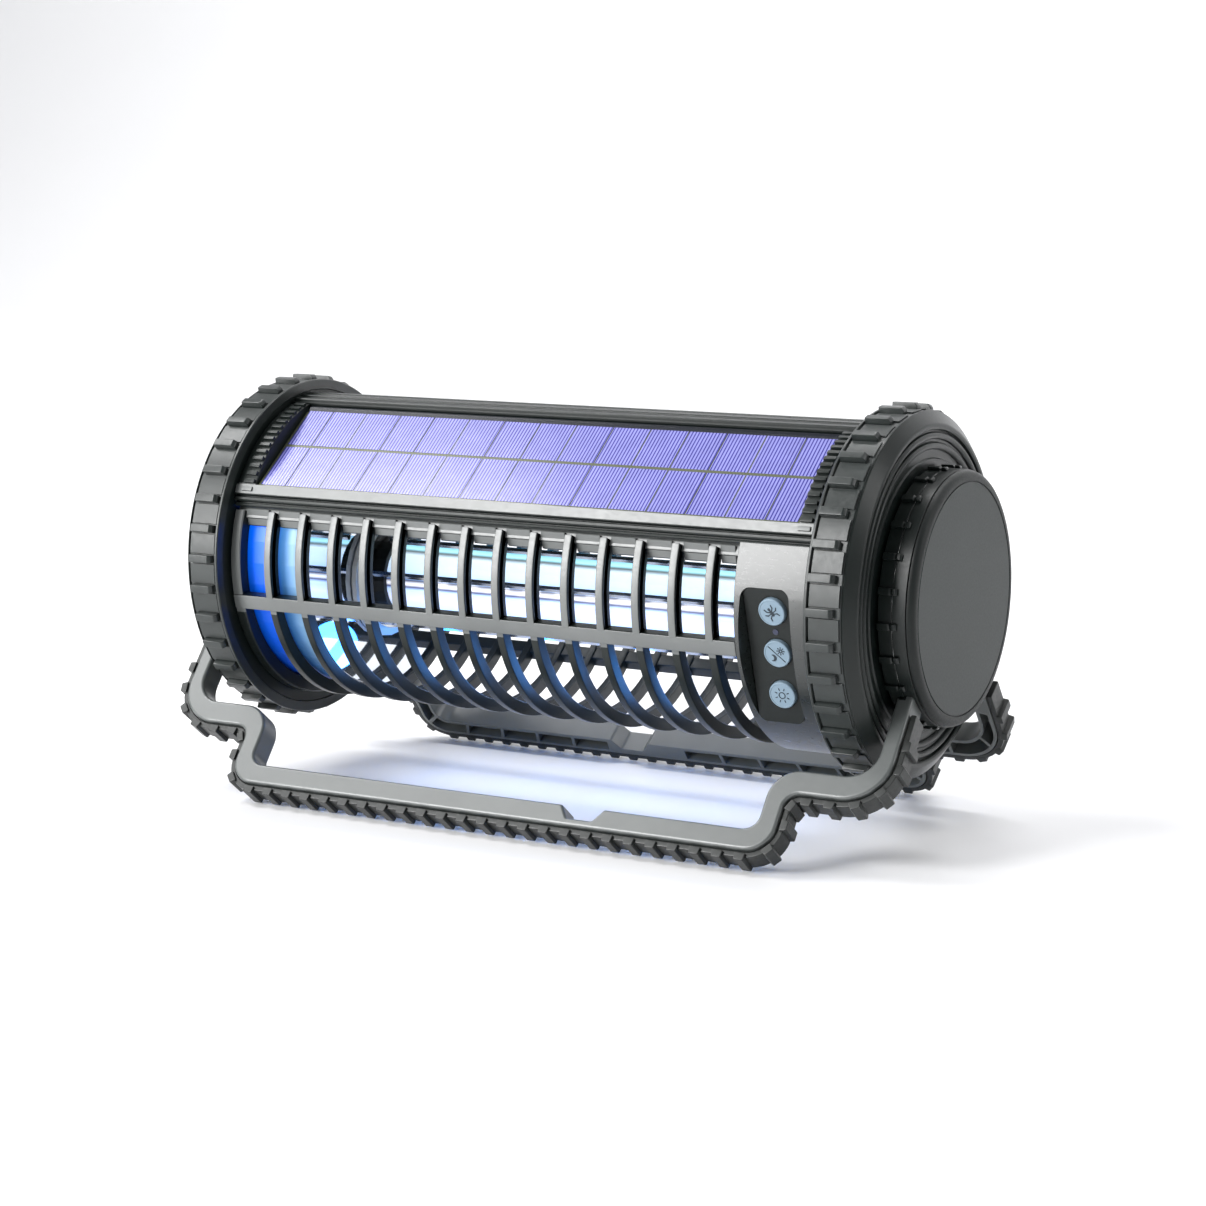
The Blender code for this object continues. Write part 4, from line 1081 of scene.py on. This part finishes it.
def button(name, number):
    """A key with a stepped rim, a slightly sunken face and its mark a hair proud of it."""
    back, face, r = 43.9 * MM, BUTTON_FACE, BUTTON_R
    profile = [(back, 0), (back, 6 * MM), (back + 1.3 * MM, 6 * MM), (back + 1.3 * MM, r)]
    profile += [(face - 0.55 * MM, r), (face - 0.25 * MM, r - 0.1 * MM)]
    profile += [(face - 0.08 * MM, r - 0.3 * MM), (face - 0.05 * MM, r - 0.55 * MM)]
    profile += [(face - 0.2 * MM, r - 0.7 * MM), (face - 0.18 * MM, r * 0.5), (face - 0.16 * MM, 0)]
    shape = bmesh.new()
    rings = [[shape.verts.new((r * math.cos(TAU * i / 48), r * math.sin(TAU * i / 48), h))
              for h, r in profile] for i in range(48)]
    for ring, following in zip(rings, rings[1:] + rings[:1]):
        for j in range(len(profile) - 1):
            shape.faces.new((ring[j], following[j], following[j + 1], ring[j + 1]))
    key = from_bmesh(name, shape)
    levels = (face - 0.4 * MM, face - 0.02 * MM)
    if name == "zap_button":
        marks = insect_marks(levels)
    elif name == "auto_button":
        marks = [ray_block(0.22 * MM, -3.7 * MM, 3.7 * MM, -42, (0, 0), levels)]
        marks.append(moon_mark((1.35 * MM, 1.35 * MM), 1.15 * MM, levels))
        marks += sun_marks((-1.45 * MM, -1.2 * MM), 0.5 * MM, 0.3 * MM, 0.85 * MM, 1.4 * MM, levels)
    else:
        marks = sun_marks((0, 0), 1.05 * MM, 0.24 * MM, 1.75 * MM, 2.6 * MM, levels, 22.5)
    key_faces = len(key.data.polygons)
    made = as_object(name, gathered([key, joined("icon", marks)]))
    move(made, facing(PANEL_ANGLE) @ Matrix.Translation((-BUTTON_X, number * BUTTON_PITCH, 0)))
    made = piece(made, name + "_key", name, [KEYS, INK], [name], 30)
    repaint(made, lambda face: face.index >= key_faces)


# ---- Build ----
for label, way in (("left", -1), ("right", 1)):
    bumper_ring(label + "_bumper_ring", way)
    end_housing(label + "_end_housing", way)
    hub_cap(label + "_hub_cap", way)

front_root = from_x(0, (131.4, 41), (133.5, 41), (133.5, 39), (136.8, 39))
rear_root = from_x(0, (131.4, 52), (130.2, 50), (130.2, 39), (133.1, 39), (133.1, 42.7),
                   (136.8, 42.7))
leg("front_leg", -1, front_root, FRONT_COLLAR, -35.7 * MM, 135.2 * MM)
leg("rear_leg", 1, rear_root, REAR_COLLAR, -14 * MM, 133.1 * MM)
leg_tread("front_leg_tread", -1)
leg_tread("rear_leg_tread", 1)

solar_frame()
solar_panel()
guard_cage()
control_housing()
control_panel()
button("zap_button", -1)
button("auto_button", 0)
button("light_button", 1)

CARRIED = {  # solids shown as they are in the frame
    DARK: "left_hub_axle right_hub_axle solar_back_tray zap_switch auto_switch light_switch "
          "battery_holder left_lamp_socket right_lamp_socket",
    STEEL: "left_friction_washer right_friction_washer left_axle_screw right_axle_screw",
    LENS: "status_led_lens", BOARD: "control_board lamp_led_board",
    WRAP: "battery_cell_1 battery_cell_2", CUP: "lamp_base_drum", GLOW: "lamp_tube",
    CERAMIC: "high_voltage_module left_grid_insulator right_grid_insulator",
    CHROME: "live_grid return_grid",
}
for material, nodes in CARRIED.items():
    for node in nodes.split():
        solid = bpy.data.objects[node]
        if not solid.material_slots:
            solid.data.materials.append(material)
        for socket in solid.material_slots:
            socket.material = material


# ---- Floor, lights and camera ----
def sweep():
    """A plain floor that curves up into the backdrop."""
    n = Nodes("studio_white")
    white = (0.86, 0.86, 0.87)
    n.paint(n.ramp(n.noise(3, 2), ((0.2, white), (0.8, tuple(0.985 * c for c in white)))))
    n.set(Roughness=0.45, Specular_IOR_Level=0.4)
    profile = [(-3.0, 0.0), (1.2, 0.0)]
    for degrees in range(10, 90, 10):
        turn = math.radians(degrees)
        profile.append((1.2 + 1.0 * math.sin(turn), 1.0 - 1.0 * math.cos(turn)))
    profile += [(2.2, 1.0), (2.2, 4.0)]
    shape = bmesh.new()
    rows = [[shape.verts.new((x, y, z)) for y, z in profile] for x in (-5.0, 5.0)]
    for i in range(len(profile) - 1):
        shape.faces.new((rows[0][i], rows[1][i], rows[1][i + 1], rows[0][i + 1]))
    made = as_object("studio_sweep", shape)
    made.data.shade_smooth()
    made.data.materials.append(n.material)


def softbox(name, centre, towards, size, power):
    lamp = bpy.data.lights.new(name, "AREA")
    lamp.shape = "RECTANGLE"
    lamp.size, lamp.size_y = size
    lamp.energy = power
    made = place(name, lamp)
    made.location = centre
    made.rotation_euler = (Vector(towards) - Vector(centre)).to_track_quat("-Z", "Y").to_euler()


sweep()
middle = (0, 0, AXIS_Z)
softbox("key_light", (-0.82, -1.36, 0.70), middle, (0.70, 1.30), 42)
softbox("top_left_light", (-1.14, -0.24, 1.38), middle, (0.62, 0.80), 17)
softbox("right_light", (1.5, 0.35, 0.8), middle, (0.4, 0.9), 5)
softbox("backdrop_light", (0.0, 0.9, 2.6), (0, 2.2, 0.9), (2.5, 0.6), 62)
for spot in (-60, -20, 20, 60):  # the blue light the lamp throws on the parts below it
    glow = bpy.data.lights.new("lamp_glow", "POINT")
    glow.energy = 0.026
    glow.color = (0.05, 0.32, 1.0)
    glow.shadow_soft_size = 9 * MM
    place("lamp_glow", glow).location = (spot * MM, 0, LAMP_Z - LAMP_R - 15 * MM)

world = bpy.data.worlds.new("studio_air")
world.use_nodes = True
air = world.node_tree.nodes["Background"]
air.inputs["Color"].default_value = (0.95, 0.97, 1.0, 1)
air.inputs["Strength"].default_value = 0.32
bpy.context.scene.world = world

lens = bpy.data.cameras.new("photo_camera")
lens.sensor_width = 36
lens.lens = 83.55
camera = place("photo_camera", lens)
aim = Vector((0.0070, 0, AXIS_Z - 0.0118))
camera.location = aim + Vector((0.4735, -0.8235, 0.1505))
camera.rotation_euler = (aim - camera.location).to_track_quat("-Z", "Y").to_euler()
bpy.context.scene.camera = camera
bpy.context.scene.view_settings.view_transform = "Standard"
